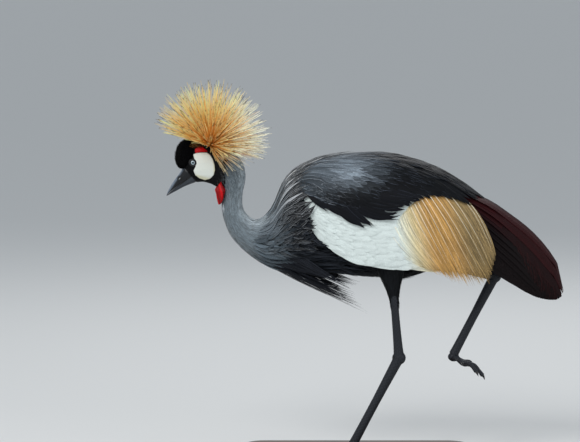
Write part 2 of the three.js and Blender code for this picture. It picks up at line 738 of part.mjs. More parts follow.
// Black flight feathers of the hand, under the maroon ones
function primaryFlow(side) {
  return (line, along, lift) => {
    const rootX = wingEnd - 8;
    const x = THREE.MathUtils.lerp(rootX, THREE.MathUtils.lerp(262, 226, line), along);
    const z = THREE.MathUtils.lerp(
      THREE.MathUtils.lerp(470, 412, line),
      THREE.MathUtils.lerp(384, 366, line),
      along ** 1.2,
    );
    return shellPoint(x, side * shellTurn(x, z), lift);
  };
}

function makePrimaries(name, side) {
  const flow = primaryFlow(side);
  const core = sheet(1, 3, (along, across, face) => flow((across + 1) / 2, 0.2 * along, face === 1 ? -25.5 : -28.5));
  const vanes = [];
  for (let i = 0; i < primary.count; i += 1) {
    vanes.push(fieldVane({
      flow,
      line: (i + 0.5) / primary.count,
      spread: 0.5 / primary.count,
      from: 0.08,
      to: 1,
      rows: 4,
      columns: 1,
      lift: () => (i % 2 === 0 ? -26.2 : -27.8),
      thickness: primary.thickness,
      shape: bladeShape,
    }));
  }
  const whole = joined([core, ...vanes]).trimByPlane([1, 0, 0], wingEnd + gap / 2);
  add(`primaries_${name}`, cutBy(whole, trunkSpace), 0x17181b, 0.8);
}

function makeWing(name, side) {
  const pad = shellSheet({
    side,
    fromX: -168,
    toX: wingEnd + 10,
    upper: () => 0.34,
    lower: (x) => shellTurn(x, wingEdge(x)),
    outer: (x) => -12 - 4 * THREE.MathUtils.smoothstep(x, -60, -5),
    inner: () => -36,
    rows: 7,
    columns: 3,
  });
  const arm = pad.trimByPlane([-1, 0, 0], gap / 2 - wingEnd);
  add(`wing_${name}`, cutBy(arm, trunkSpace, thigh(leftLeg, gap), thigh(rightLeg, gap)), 0xd7e1e1, 0.8);
  makePlumes(name, side);
  makeSecondaries(name, side);
  makePrimaries(name, side);
}

// Tail: a root that carries on from the rump and a shallow fan under the wings
function tailRoot(lift) {
  return loft(bodySides, 3, (along, angle, rim) => {
    const { middle, up, height, half, ahead } = bodySection(bodyEnd);
    const size = 1 - 0.6 * along;
    return middle
      .addScaledVector(ahead, along === 0 ? gap - 2 * lift : gap)
      .add(vector(tail.rootLength * along, 0, -tail.rootFall * along))
      .addScaledVector(up, (height * size + lift) * Math.cos(angle) * rim)
      .add(vector(0, (half * size + lift) * Math.sin(angle) * rim, 0));
  });
}

function makeTail() {
  const vanes = [];
  for (let i = 0; i < tail.feathers; i += 1) {
    const place = (2 * i + 1) / tail.feathers - 1;
    const level = Math.abs(place) < 0.3 ? 1.4 : i % 2 === 0 ? 0 : -1.4;
    vanes.push(sheet(4, 1, (along, across, face) => {
      const x = THREE.MathUtils.lerp(tail.start[0], tail.end[0] - 12 * place * place, along);
      const z = THREE.MathUtils.lerp(tail.start[1], tail.end[1] + 12 * place * place, along);
      const spread = THREE.MathUtils.lerp(5, tail.halfWidth, along) * place;
      const half = (1.4 * tail.halfWidth) / tail.feathers * bladeShape(along);
      return vector(x, spread + across * half, z - tail.arch * place * place * along + level + (face - 0.5));
    }));
  }
  add('tail', joined([tailRoot(0), ...vanes]), 0x17181b, 0.8);
}

// Legs

function limb(from, to, y, radii, lift = 0, squash = 1) {
  const start = vector(from[0], y, from[1]);
  const way = vector(to[0], y, to[1]).sub(start);
  const ahead = way.clone().normalize();
  start.addScaledVector(ahead, -lift);
  way.addScaledVector(ahead, 2 * lift);
  const across = vector(0, 1, 0).cross(way).normalize();
  const radius = profile(radii);
  return loft(legSides, radii.length + 1, (along, angle, rim) => start
    .clone()
    .addScaledVector(way, along)
    .addScaledVector(across, (radius(along) + lift) * Math.cos(angle) * rim)
    .add(vector(0, (radius(along) * squash + lift) * Math.sin(angle) * rim, 0)));
}

function thigh(leg, lift) {
  const radii = [[0, 34], [0.3, 28], [0.55, 20.5], [0.8, 13], [1, 9.2]];
  return limb(leg.thighTop, leg.thighEnd, leg.side * hipSide, radii, lift, 0.72);
}

// A round piece along a curve, with a radius for each share of its length
function tube(points, radius, sides, steps) {
  const curve = new THREE.CatmullRomCurve3(points);
  return loft(sides, steps, (along, angle, rim) => {
    const ahead = curve.getTangent(along);
    const across = ahead.clone().cross(vector(0, 0, 1)).normalize();
    const up = across.clone().cross(ahead);
    return curve
      .getPoint(along)
      .addScaledVector(across, radius(along) * Math.sin(angle) * rim)
      .addScaledVector(up, radius(along) * Math.cos(angle) * rim);
  });
}

// Course of a toe and of its claw, resting on the stand or folded back in the air
function toeCourse(leg, toe, order) {
  const root = vector(leg.foot[0], leg.side * hipSide, leg.foot[1]);
  const turn = THREE.MathUtils.degToRad(180 + leg.side * toe.turn);
  const ahead = vector(Math.cos(turn), Math.sin(turn), 0);
  if (leg.side < 0) {
    const tip = root.clone().addScaledVector(ahead, toe.length).setZ(toe.radius * 0.62);
    const knuckle = root.clone().addScaledVector(ahead, toe.length * 0.3).setZ(toe.radius + 3);
    const pad = root.clone().addScaledVector(ahead, toe.length * 0.62).setZ(toe.radius);
    const clawTip = tip.clone().addScaledVector(ahead, claw.length).setZ(1.2);
    return { points: [root, knuckle, pad, tip], clawTip };
  }
  const fan = foldedToe.fan * (1 - order) * leg.side;
  const reach = toe.length / 92;
  const bend = root.clone().add(vector(foldedToe.out * reach, fan, -18 * reach));
  const flat = bend.clone().add(vector(foldedToe.out * reach, fan * 0.8, -4 * reach));
  const tip = flat.clone().add(vector(18 * reach, fan * 0.5, -20 * reach));
  const down = tip.clone().sub(flat).normalize();
  const clawTip = tip.clone().addScaledVector(down, claw.length).add(vector(-claw.droop, 0, 0));
  return { points: [root, bend, flat, tip], clawTip };
}

function makeFoot(name, leg, tarsusSpace) {
  const floor = new THREE.BoxGeometry(600, 600, 40);
  floor.translate(leg.foot[0], 0, gap - 20);
  const ball = ellipsoid([leg.foot[0], leg.side * hipSide, leg.foot[1] - 5], [11.6, 10.6, 9.8], 8, 6);
  const parts = toes.map((toe, order) => {
    const { points, clawTip } = toeCourse(leg, toe, order);
    const ahead = new THREE.CatmullRomCurve3(points).getTangent(1);
    const joints = (u) => toe.radius * (1 - 0.35 * u) * (1 + 0.09 * Math.cos(u * Math.PI * 6));
    const root = points[3].clone().addScaledVector(ahead, -1);
    const middle = root.clone().lerp(clawTip, 0.55).add(vector(0, 0, 1.4));
    const nail = tube([root, middle, clawTip], (u) => claw.radius * (1 - u) ** 0.7 + 0.15, 5, 2)
      .trimByPlane(ahead.toArray(), points[3].dot(ahead) + gap);
    add(`claw_${name}_${order + 1}`, cutBy(nail, solid(floor.clone())), 0x15161a, 0.4);
    return tube(points, joints, toeSides, 5);
  });
  add(`foot_${name}`, cutBy(joined([ball, ...parts]), solid(floor), tarsusSpace), 0x25282f, 0.65);
}

function makeLeg(name, leg) {
  const y = leg.side * hipSide;
  add(`thigh_${name}`, cutBy(thigh(leg, 0), trunkSpace), 0x24262a, 0.9);
  const shank = limb(leg.thighEnd, leg.ankle, y, [[0, 8.2], [0.3, 7.8], [0.75, 8.8], [1, 10.4]]);
  const radii = [[0, 10.4], [0.12, 9.8], [0.5, 8.3], [0.9, 8.7], [1, 9.4]];
  const tarsus = (lift) => limb(leg.ankle, leg.foot, y, radii, lift);
  add(`shank_${name}`, cutBy(shank, thigh(leg, gap), ankle(leg, gap), tarsus(gap)), 0x25282f, 0.6);
  add(`tarsus_${name}`, joined([tarsus(0), ankle(leg, 0)]), 0x25282f, 0.6);
  makeFoot(name, leg, tarsus(gap));
}

function ankle(leg, lift) {
  const radii = [ankleRadius + lift, ankleRadius * 0.8 + lift, ankleRadius + lift];
  return ellipsoid([leg.ankle[0], leg.side * hipSide, leg.ankle[1]], radii, 8, 6);
}

// Stand

function makeStand() {
  const halfLength = standLength / 2 - standBevel;
  const halfWidth = standWidth / 2 - standBevel;
  const shape = new THREE.Shape();
  shape.moveTo(halfLength - standCorner, -halfWidth);
  [[1, -1, -90], [1, 1, 0], [-1, 1, 90], [-1, -1, 180]].forEach(([toX, toY, turn]) => {
    const start = THREE.MathUtils.degToRad(turn);
    const centre = [toX * (halfLength - standCorner), toY * (halfWidth - standCorner)];
    shape.absarc(...centre, standCorner, start, start + Math.PI / 2);
  });
  const geometry = new THREE.ExtrudeGeometry(shape, {
    depth: standHeight - 2 * standBevel,
    bevelThickness: standBevel,
    bevelSize: standBevel,
    bevelSegments: 1,
    curveSegments: 3,
  });
  geometry.translate(standMiddle, 0, standBevel - standHeight);
  add('stand_base', solid(geometry), 0x4a3a2c, 0.5);
}

makeHead();
makeBill();
makeFace();
makeWattle();
makeCrest();
makeBody();
makeMantle();
makeWing('left', -1);
makeWing('right', 1);
makeTail();
makeLeg('left', leftLeg);
makeLeg('right', rightLeg);
makeStand();

crane.position.set(-standMiddle, 0, standHeight);
crane.updateMatrixWorld(true);

export default crane;
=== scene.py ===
import math

import bpy
import numpy as np
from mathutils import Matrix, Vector
from mathutils.kdtree import KDTree


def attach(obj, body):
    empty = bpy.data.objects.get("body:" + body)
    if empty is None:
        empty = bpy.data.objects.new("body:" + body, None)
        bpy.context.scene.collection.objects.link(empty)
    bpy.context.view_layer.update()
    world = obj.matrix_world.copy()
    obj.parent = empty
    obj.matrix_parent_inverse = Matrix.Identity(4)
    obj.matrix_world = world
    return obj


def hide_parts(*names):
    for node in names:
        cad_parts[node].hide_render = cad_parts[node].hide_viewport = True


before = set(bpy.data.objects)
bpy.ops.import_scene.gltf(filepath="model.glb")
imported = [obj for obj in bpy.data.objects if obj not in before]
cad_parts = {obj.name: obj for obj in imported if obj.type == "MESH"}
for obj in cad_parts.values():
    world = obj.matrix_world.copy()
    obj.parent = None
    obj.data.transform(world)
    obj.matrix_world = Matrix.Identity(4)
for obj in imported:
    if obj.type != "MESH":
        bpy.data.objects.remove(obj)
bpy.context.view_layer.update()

# View, floor and light
# A long lens looks a little down on the bird's left side, over a pale studio floor, with a large
# soft lamp at the upper left, a fill from the right and a rim lamp behind.
view_middle = Vector((-0.132, 0.0, 0.468))
view_width = 1.131
view_distance = 6.0
view_rise = math.radians(5.0)
film_width = 36
bpy.ops.object.select_all(action="DESELECT")
camera_place = view_middle + view_distance * Vector((0, -math.cos(view_rise), math.sin(view_rise)))
bpy.ops.object.camera_add(location=camera_place, rotation=(math.pi / 2 - view_rise, 0, 0))
camera = bpy.context.object
camera.data.sensor_width = film_width
camera.data.lens = film_width * view_distance / view_width
camera.data.clip_end = 500
bpy.context.scene.camera = camera
bpy.context.scene.view_settings.view_transform = "Standard"


def set_sockets(node, **values):
    for socket, value in values.items():
        node.inputs[socket.replace("_", " ")].default_value = value
    return node


def new_finish(name, **values):
    material = bpy.data.materials.new(name)
    material.use_nodes = True
    set_sockets(material.node_tree.nodes["Principled BSDF"], **values)
    return material


bpy.ops.mesh.primitive_plane_add(size=300)
floor = bpy.context.object
floor.name = "studio_floor"
floor.data.materials.append(new_finish("studio_floor", Base_Color=(0.64, 0.64, 0.63, 1), Roughness=0.85))
lamps = (
    ("key_lamp", (-1.6, -2.6, 3.0), (0, 0, 0.5), 1.6, 88),
    ("fill_lamp", (2.6, -2.6, 1.4), (0, 0, 0.45), 2.2, 22),
    ("rim_lamp", (0.6, 2.6, 2.8), (0, 0, 0.5), 1.6, 34),
)
for name, place, aim, size, power in lamps:
    bpy.ops.object.light_add(type="AREA", location=place)
    lamp = bpy.context.object
    lamp.name = name
    lamp.data.size = size
    lamp.data.energy = power
    lamp.rotation_euler = (Vector(aim) - Vector(place)).to_track_quat("-Z", "Y").to_euler()
world = bpy.data.worlds.new("studio_air")
world.use_nodes = True
set_sockets(world.node_tree.nodes["Background"], Color=(0.86, 0.93, 1.0, 1), Strength=0.58)
bpy.context.scene.world = world

# Skin
# One closed skin under all the feathers: the trunk with neck and head, the folded arms and the
# thighs, grown together. It lies inside the coat by the depth of the feathers and carries its colours.
draw = np.random.default_rng(11)
# Lengths are millimetres from the point under the hips, z up, the bill towards -x
millimetre = 0.001
stand_shift = np.array([69.0, 0.0, 14.0])


def placed(points):
    return (np.asarray(points) + stand_shift) * millimetre


def unit(vectors):
    return vectors / np.maximum(np.linalg.norm(vectors, axis=-1, keepdims=True), 1e-9)


# 0 at low and 1 at high, which may be the lesser of the two
def smoothstep(x, low, high):
    share = np.clip((np.asarray(x, float) - low) / (high - low), 0, 1)
    return share * share * (3 - 2 * share)


def mix(a, b, share):
    return np.asarray(a) + (np.asarray(b) - np.asarray(a)) * np.asarray(share)


# A painter's colour, red green blue up to 255, as the linear light that the shaders take
def paint(*colour):
    value = np.array(colour, float) / 255
    return np.where(value <= 0.04045, value / 12.92, ((value + 0.055) / 1.055) ** 2.4)


# Curve between two values that leaves and arrives at the given slopes
def hermite(a, b, leave, arrive, u):
    return (a * (1 + 2 * u) * (1 - u) ** 2 + b * u * u * (3 - 2 * u)
            + leave * u * (1 - u) ** 2 - arrive * u * u * (1 - u))


# Smooth course through points: share 0 at the first, 1 at the last
def smooth_course(points):
    knots = np.array(points, float)
    knots = np.concatenate([[2 * knots[0] - knots[1]], knots, [2 * knots[-1] - knots[-2]]])
    spans = np.maximum(np.linalg.norm(np.diff(knots, axis=0), axis=1), 1e-6)[:, None] ** 0.5

    def value(share):
        place = np.clip(np.asarray(share, float), 0, 1) * (len(knots) - 3)
        i = np.minimum(place.astype(int), len(knots) - 4)
        a, b, c, d = (knots[i + step] for step in range(4))
        p, q, r = (spans[i + step] for step in range(3))
        leave = ((b - a) / p - (c - a) / (p + q) + (c - b) / q) * q
        arrive = ((c - b) / q - (d - b) / (q + r) + (d - c) / r) * q
        return hermite(b, c, leave, arrive, (place - i)[..., None])

    return value


# Trunk from the root of the bill (0) to the rump (18): upper edge x, z, lower edge x, z, half width
body_sections = np.array([
    [-409, 558, -386, 529.5, 11.5], [-404, 575, -378, 530.5, 17], [-390, 592, -368, 530.5, 20.5],
    [-357, 601, -353, 526, 22.5], [-320, 591, -341, 518, 21.5], [-296, 572, -335, 505, 20],
    [-288, 543, -334, 491, 19], [-294, 505, -332, 468, 20], [-293, 480, -324, 442, 23.5],
    [-284, 465, -314, 423, 27], [-267, 456, -290, 397, 36], [-239, 474, -244, 366, 49],
    [-205, 534, -180, 352, 63], [-140, 568, -110, 352, 71], [-60, 577, -41, 346, 72],
    [20, 570, 20, 348, 66], [100, 540, 90, 376, 52], [165, 494, 150, 404, 34], [205, 455, 195, 424, 13.5],
])
upper_edge = smooth_course(body_sections[:, [0, 4, 1]])
lower_edge = smooth_course(body_sections[:, [2, 4, 3]])
last_station = len(body_sections) - 1


# The values given as arrays of one shape
def together(*values):
    return np.broadcast_arrays(*(np.asarray(value, float) for value in values))


# Points at a station along the trunk, at an angle from its upper edge, lifted off its surface
def body_point(station, angle, lift=0.0):
    station, angle, lift = together(station, angle, lift)
    upper = upper_edge(station / last_station)
    lower = lower_edge(station / last_station)
    half = (upper[..., 1] + lower[..., 1]) / 2
    upper[..., 1] = 0
    lower[..., 1] = 0
    height = np.linalg.norm(upper - lower, axis=-1) / 2
    point = (upper + lower) / 2 + unit(upper - lower) * ((height + lift) * np.cos(angle))[..., None]
    point[..., 1] += (half + lift) * np.sin(angle)
    return point


# Place of a point on the unwrap of the skin: its left half beside its right half, both from the side
unwrap_front = -420
unwrap_span = 1700


def unwrap(points, right):
    u = (points[..., 0] - unwrap_front) / unwrap_span + np.where(right, 0.5, 0.0)
    return np.stack([u, points[..., 2] / unwrap_span + 0.25], axis=-1)


# How far a place is in the black of the face: 1 in front of the nape, 0 on the neck
def face_black(points):
    x, z = points[..., 0], points[..., 2]
    border = -333 + 16 * smoothstep(z, 566, 594)
    return smoothstep(x, border + 10, border - 8) * smoothstep(z, 498, 510)


def skin_colour(points):
    x, z = points[..., 0:1], points[..., 2:3]
    grey = mix(paint(112, 122, 134), paint(70, 76, 84), smoothstep(z, 470, 380))
    trunk = smoothstep(x - 0.4 * (z - 400), -215, -175)
    tint = mix(grey, paint(18, 20, 24), trunk)
    return mix(tint, paint(9, 9, 11), face_black(points)[..., None])


def colour_points(mesh, tint):
    tint = np.clip(np.broadcast_to(tint, (len(mesh.vertices), 3)), 0, 1)
    rgba = np.concatenate([tint, np.ones((len(tint), 1))], axis=1).astype(np.float32)
    mesh.color_attributes.new("Tint", "FLOAT_COLOR", "POINT").data.foreach_set("color", rgba.ravel())


def lay_uv(mesh, name, corners):
    mesh.uv_layers.new(name=name).data.foreach_set("uv", corners.astype(np.float32).ravel())


def new_piece(name, mesh):
    piece = bpy.data.objects.new(name, mesh)
    bpy.context.collection.objects.link(piece)
    return piece


# Faces of separate grids of points, each closed across where its rows are rings
def grid_faces(count, rows, columns, ring=False):
    first = np.arange(count)[:, None, None] * rows * columns + np.arange(rows - 1)[:, None] * columns
    across = np.arange(columns if ring else columns - 1)
    near, far = first + across, first + (across + 1) % columns
    return np.stack([near, far, far + columns, near + columns], axis=-1).reshape(-1, 4)


# Rings of points closed into a tube, with a middle point at each end
def tube_piece(name, rings):
    steps, sides = rings.shape[:2]
    points = np.concatenate([rings.reshape(-1, 3), [rings[0].mean(0)], [rings[-1].mean(0)]])
    ring = np.arange(sides)
    after = (ring + 1) % sides
    first, last, base = len(points) - 2, len(points) - 1, (steps - 1) * sides
    caps = [(first, n, m) for m, n in zip(ring, after)]
    caps += [(last, base + m, base + n) for m, n in zip(ring, after)]
    mesh = bpy.data.meshes.new(name)
    walls = grid_faces(1, steps, sides, ring=True)
    mesh.from_pydata(placed(points).tolist(), [], walls.tolist() + np.array(caps).tolist())
    mesh.update()
    return new_piece(name, mesh)


def add_ball(place, radii):
    bpy.ops.mesh.primitive_uv_sphere_add(segments=24, ring_count=16, radius=millimetre,
                                         location=placed(place))
    ball = bpy.context.object
    ball.scale = radii
    bpy.ops.object.transform_apply(location=True, rotation=True, scale=True)
    return ball


def select_only(*pieces):
    bpy.ops.object.select_all(action="DESELECT")
    for piece in pieces:
        piece.select_set(True)
    bpy.context.view_layer.objects.active = pieces[0]


def outwards(piece):
    select_only(piece)
    bpy.ops.object.mode_set(mode="EDIT")
    bpy.ops.mesh.select_all(action="SELECT")
    bpy.ops.mesh.remove_doubles(threshold=0.00001)
    bpy.ops.mesh.normals_make_consistent(inside=False)
    bpy.ops.object.mode_set(mode="OBJECT")


# Closed forms made one mesh, remade in even faces and smoothed
def grown_together(name, pieces, voxel, smoothing):
    for piece in pieces:
        outwards(piece)
    select_only(*pieces)
    if len(pieces) > 1:
        bpy.ops.object.join()
    whole = bpy.context.object
    whole.name = name
    whole.data.name = name
    remesh = whole.modifiers.new("even faces", "REMESH")
    remesh.mode = "VOXEL"
    remesh.voxel_size = voxel
    bpy.ops.object.modifier_apply(modifier=remesh.name)
    smooth = whole.modifiers.new("smooth", "SMOOTH")
    smooth.factor = 0.6
    smooth.iterations = smoothing
    bpy.ops.object.modifier_apply(modifier=smooth.name)
    whole.data.polygons.foreach_set("use_smooth", np.ones(len(whole.data.polygons), dtype=bool))
    return whole


def copy_of(node):
    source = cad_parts[node]
    mesh = source.data.copy()
    mesh.transform(source.matrix_world)
    mesh.materials.clear()
    return new_piece(f"{node}_form", mesh)


def read(items, field, width=1, kind=np.float32):
    values = np.empty(len(items) * width, kind)
    items.foreach_get(field, values)
    return values.reshape(-1, width)


def points_of(piece):
    return read(piece.data.vertices, "co", 3).astype(float) / millimetre - stand_shift


def normals_of(piece):
    return read(piece.data.vertex_normals, "vector", 3).astype(float)


def move_points(piece, points):
    piece.data.vertices.foreach_set("co", placed(points).astype(np.float32).ravel())
    piece.data.update()


# Colours a remade piece by point and unwraps it for the bake: the skin in its two halves, any
# other piece over its own box, with a place of its own for each of the six ways a face can look
def tint_piece(piece, tint, halves=False):
    mesh = piece.data
    colour_points(mesh, tint)
    points = points_of(piece)
    corners = points[read(mesh.loops, "vertex_index", kind=np.int32)[:, 0]]
    sides = read(mesh.polygons, "loop_total", kind=np.int32)[:, 0]
    facing = np.repeat(read(mesh.polygons, "normal", 3), sides, axis=0)
    while mesh.uv_layers:
        mesh.uv_layers.remove(mesh.uv_layers[0])
    if halves:
        bake = unwrap(corners, facing[:, 1] > 0)
    else:
        inside = (corners - points.min(axis=0)) / np.ptp(points, axis=0).max()
        axis = np.abs(facing).argmax(axis=1)[:, None]
        flat = inside[np.arange(3) != axis].reshape(-1, 2)
        ahead = np.take_along_axis(facing, axis, axis=1) > 0
        bake = (0.02 + 0.96 * flat + np.concatenate([axis, ahead], axis=1)) / [3, 2]
    lay_uv(mesh, "OFBake", bake)


# Adds nodes that darken and lighten a colour by a pattern whose values run from low to high
def patterned(material, colour, pattern, low, high, darkest, lightest):
    nodes, links = material.node_tree.nodes, material.node_tree.links
    span = set_sockets(nodes.new("ShaderNodeMapRange"), From_Min=low, From_Max=high, To_Min=darkest,
                       To_Max=lightest)
    shade = nodes.new("ShaderNodeVectorMath")
    shade.operation = "SCALE"
    links.new(pattern, span.inputs["Value"])
    links.new(colour, shade.inputs[0])
    links.new(span.outputs["Result"], shade.inputs["Scale"])
    return shade.outputs["Vector"]


# Finish of feathers or skin: colour from the piece, broken by fine noise, and by barbs on a vane
def plumage(name, roughness, sheen=0.3, grain=700.0, contrast=0.3, barbs=0.0, gloss=0.25, bump=0.15):
    material = new_finish(name, Roughness=roughness, Specular_IOR_Level=gloss, Sheen_Weight=sheen,
                          Sheen_Roughness=0.5)
    nodes, links = material.node_tree.nodes, material.node_tree.links
    tint = nodes.new("ShaderNodeVertexColor")
    tint.layer_name = "Tint"
    place = nodes.new("ShaderNodeTexCoord")
    noise = set_sockets(nodes.new("ShaderNodeTexNoise"), Scale=grain, Detail=3)
    links.new(place.outputs["Object"], noise.inputs["Vector"])
    height = noise.outputs["Fac"]
    colour = patterned(material, tint.outputs["Color"], height, 0.3, 0.7, 1 - contrast, 1 + contrast)
    if barbs:
        lines = nodes.new("ShaderNodeUVMap")
        lines.uv_map = "Vane"
        wave = set_sockets(nodes.new("ShaderNodeTexWave"), Scale=barbs, Distortion=2.5, Detail=2)
        wave.bands_direction = "DIAGONAL"
        links.new(lines.outputs["UV"], wave.inputs["Vector"])
        height = wave.outputs["Fac"]
        colour = patterned(material, colour, height, 0, 1, 0.78, 1.15)
    relief = set_sockets(nodes.new("ShaderNodeBump"), Strength=bump, Distance=0.0006)
    shader = nodes["Principled BSDF"]
    links.new(colour, shader.inputs["Base Color"])
    links.new(height, relief.inputs["Height"])
    links.new(relief.outputs["Normal"], shader.inputs["Normal"])
    return material


def wear(piece, material):
    piece.data.materials.clear()
    piece.data.materials.append(material)


def finish(piece, material, slot, *nodes):
    wear(piece, material)
    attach(piece, "root")
    if nodes:
        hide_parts(*nodes)


ring_stations = np.linspace(0, last_station, 145)[:, None]
ring_angles = np.linspace(0, 2 * math.pi, 56, endpoint=False)[None, :]
eye_place = np.array([-390.0, 12.3, 569.0])
crown_place = np.array([-377.0, 0.0, 590.0])
crown_radii = np.array([21.0, 15.0, 15.5])
flesh = [tube_piece("trunk", body_point(ring_stations, ring_angles, -1.0))]
flesh += [copy_of(node) for node in ("thigh_left", "thigh_right", "wing_left", "wing_right")]
flesh += [add_ball(eye_place * [1, side, 1], (8.6, 8.6, 8.6)) for side in (-1, 1)]
flesh.append(add_ball(crown_place, crown_radii))
skin = grown_together("skin", flesh, 0.0026, 8)
move_points(skin, points_of(skin) - 1.8 * normals_of(skin))
tint_piece(skin, skin_colour(points_of(skin)), halves=True)
finish(skin, plumage("skin", 0.8, sheen=0.1), "black_feathers", "head", "neck_upper", "neck_lower",
       "breast", "torso", "thigh_left", "thigh_right", "wing_left", "wing_right")

# Neck and head feathers
# Short lance-shaped feathers laid like tiles from the face down to the breast: black on the head,
# slate grey on the neck with a paler nape, near black on the breast. Each is a vane of its own.


# Smooth value at x through a short table of x and value
def smooth_table(table):
    xs, ys = np.array(table, float).T
    before = np.maximum(np.arange(len(xs)) - 1, 0)
    after = np.minimum(np.arange(len(xs)) + 1, len(xs) - 1)
    slopes = (ys[after] - ys[before]) / (xs[after] - xs[before])

    def value(x):
        x = np.asarray(x, float)
        i = np.clip(np.searchsorted(xs, x, side="left") - 1, 0, len(xs) - 2)
        span = xs[i + 1] - xs[i]
        u = (x - xs[i]) / span
        inside = hermite(ys[i], ys[i + 1], slopes[i] * span, slopes[i + 1] * span, u)
        ends = np.where(u < 0, ys[0] + slopes[0] * (x - xs[0]), ys[-1] + slopes[-1] * (x - xs[-1]))
        return np.where((u < 0) | (u > 1), ends, inside)

    return value


lance = smooth_table([(0, 0.35), (0.3, 0.85), (0.6, 1.0), (0.85, 0.6), (1, 0.05)])


# Piece of four-sided faces with its tint at each point and its unwraps
def mesh_piece(name, points, faces, tint, bake, vane=None):
    mesh = bpy.data.meshes.new(name)
    mesh.vertices.add(points.size // 3)
    mesh.vertices.foreach_set("co", placed(points).astype(np.float32).ravel())
    mesh.loops.add(faces.size)
    mesh.loops.foreach_set("vertex_index", faces.astype(np.int32).ravel())
    mesh.polygons.add(len(faces))
    mesh.polygons.foreach_set("loop_start", np.arange(len(faces), dtype=np.int32) * 4)
    mesh.update(calc_edges=True)
    mesh.polygons.foreach_set("use_smooth", np.ones(len(faces), dtype=bool))
    colour_points(mesh, tint.reshape(-1, 3))
    lay_uv(mesh, "OFBake", bake.reshape(-1, 2)[faces.ravel()])
    if vane is not None:
        lay_uv(mesh, "Vane", vane.reshape(-1, 2)[faces.ravel()])
    return new_piece(name, mesh)


# Small patch of the unwrap for each feather or bristle, at its root's place on the skin
def root_patch(spine, across):
    rows = spine.shape[1]
    along = 0.003 * (np.arange(rows) / (rows - 1) - 0.5)[:, None]
    patch = np.stack(np.broadcast_arrays(across, along), axis=-1)
    return unwrap(spine[:, 0], spine[:, 0, 1] > 0)[:, None, None] + patch


# Vanes from their middle lines, outward directions and widths. Their tint is given for all, for
# each feather, each row or each point; light is by row and column, and kept picks some of them.
def lay_vanes(name, spine, out, width, tint, shape=lance, edges=(-1, 0, 1), camber=0.25, light=1.0,
              kept=None):
    count, rows = spine.shape[:2]
    across = np.array(edges, float)
    while tint.ndim < 4:
        tint = np.expand_dims(tint, -2)
    tint = np.broadcast_to(tint * light, (count, rows, len(across), 3))
    out = np.broadcast_to(out, spine.shape)
    half = np.broadcast_to(width, count)[:, None] * shape(np.linspace(0, 1, rows))
    if kept is not None:
        spine, out, half, tint = spine[kept], out[kept], half[kept], tint[kept]
    tangent = unit(np.gradient(spine, axis=1))
    wide = unit(np.cross(tangent, out))
    up = unit(np.cross(wide, tangent))
    reach = half[:, :, None] * across
    fall = camber * half[:, :, None] * across ** 2
    points = spine[:, :, None] + wide[:, :, None] * reach[..., None] - up[:, :, None] * fall[..., None]
    run = np.cumsum(np.linalg.norm(np.diff(spine, axis=1, prepend=spine[:, :1]), axis=-1), axis=1)
    vane = 0.1 * np.stack(np.broadcast_arrays(reach, run[:, :, None]), axis=-1)
    faces = grid_faces(len(spine), rows, len(across))
    return mesh_piece(name, points, faces, tint, root_patch(spine, 0.0015 * across), vane)


def body_normal(station, angle):
    ahead = body_point(np.minimum(station + 0.1, last_station), angle) - body_point(station - 0.1, angle)
    around = body_point(station, angle + 0.02) - body_point(station, angle - 0.02)
    return unit(np.cross(around, ahead))


# Spread of count places over a unit square, even but not regular: equal steps that never line up
even_steps = np.array([0.7548776662, 0.5698402910])


def scattered(count):
    return (np.arange(count)[:, None] * even_steps + 0.004 * draw.normal(size=(count, 2))) % 1


# A tint for each of count feathers, some darker and some lighter
def varied(tint, low, high, count):
    return tint * draw.uniform(low, high, (count, 1))


# Middle lines of feathers that lie along the trunk, lifted from low at the root to high at the tip
def along_body(station, angle, length, low, high, rows, stray=0.06):
    share = np.linspace(0, 1, rows)
    step = body_point(np.minimum(station + 0.05, last_station), angle) - body_point(station - 0.05, angle)
    reach = (length / (np.linalg.norm(step, axis=-1) / 0.1))[:, None] * share
    turn = angle[:, None] + stray * draw.normal(size=(len(angle), 1)) * share ** 1.5
    lift = low + (high[:, None] - low) * share ** 0.8
    stations = np.clip(station[:, None] + reach, 0.06, last_station)
    return body_point(stations, turn, lift), body_normal(stations, turn)


def coat_colour(station, angle):
    down = smoothstep(station, 8.8, 12.2)
    back = smoothstep(np.cos(angle), 0.2, 0.95)
    grey = mix(paint(94, 104, 110), paint(142, 152, 158), (back * (1 - down))[:, None])
    grey = mix(grey, paint(70, 79, 86), down[:, None])
    under = smoothstep(-np.cos(angle), -0.3, 0.8) * smoothstep(station, 9.8, 11.8)
    grey = mix(grey, paint(24, 26, 31), under[:, None])
    return mix(grey, paint(9, 9, 11), face_black(body_point(station, angle))[:, None])


# Height of the lower edge of the white coverts of the wing, by x
wing_edge = smooth_table([
    (-184, 478), (-152, 431), (-125, 405), (-103, 391), (-80, 380), (-58, 374), (-35, 371), (9, 366),
    (52, 363), (90, 358),
])


# Feathers of the body whose tips would pierce the white coverts of the wing
def in_white(tips):
    x, y, z = tips.T
    return (x > -148) & (np.abs(y) > 38) & (z > wing_edge(x) + 8)


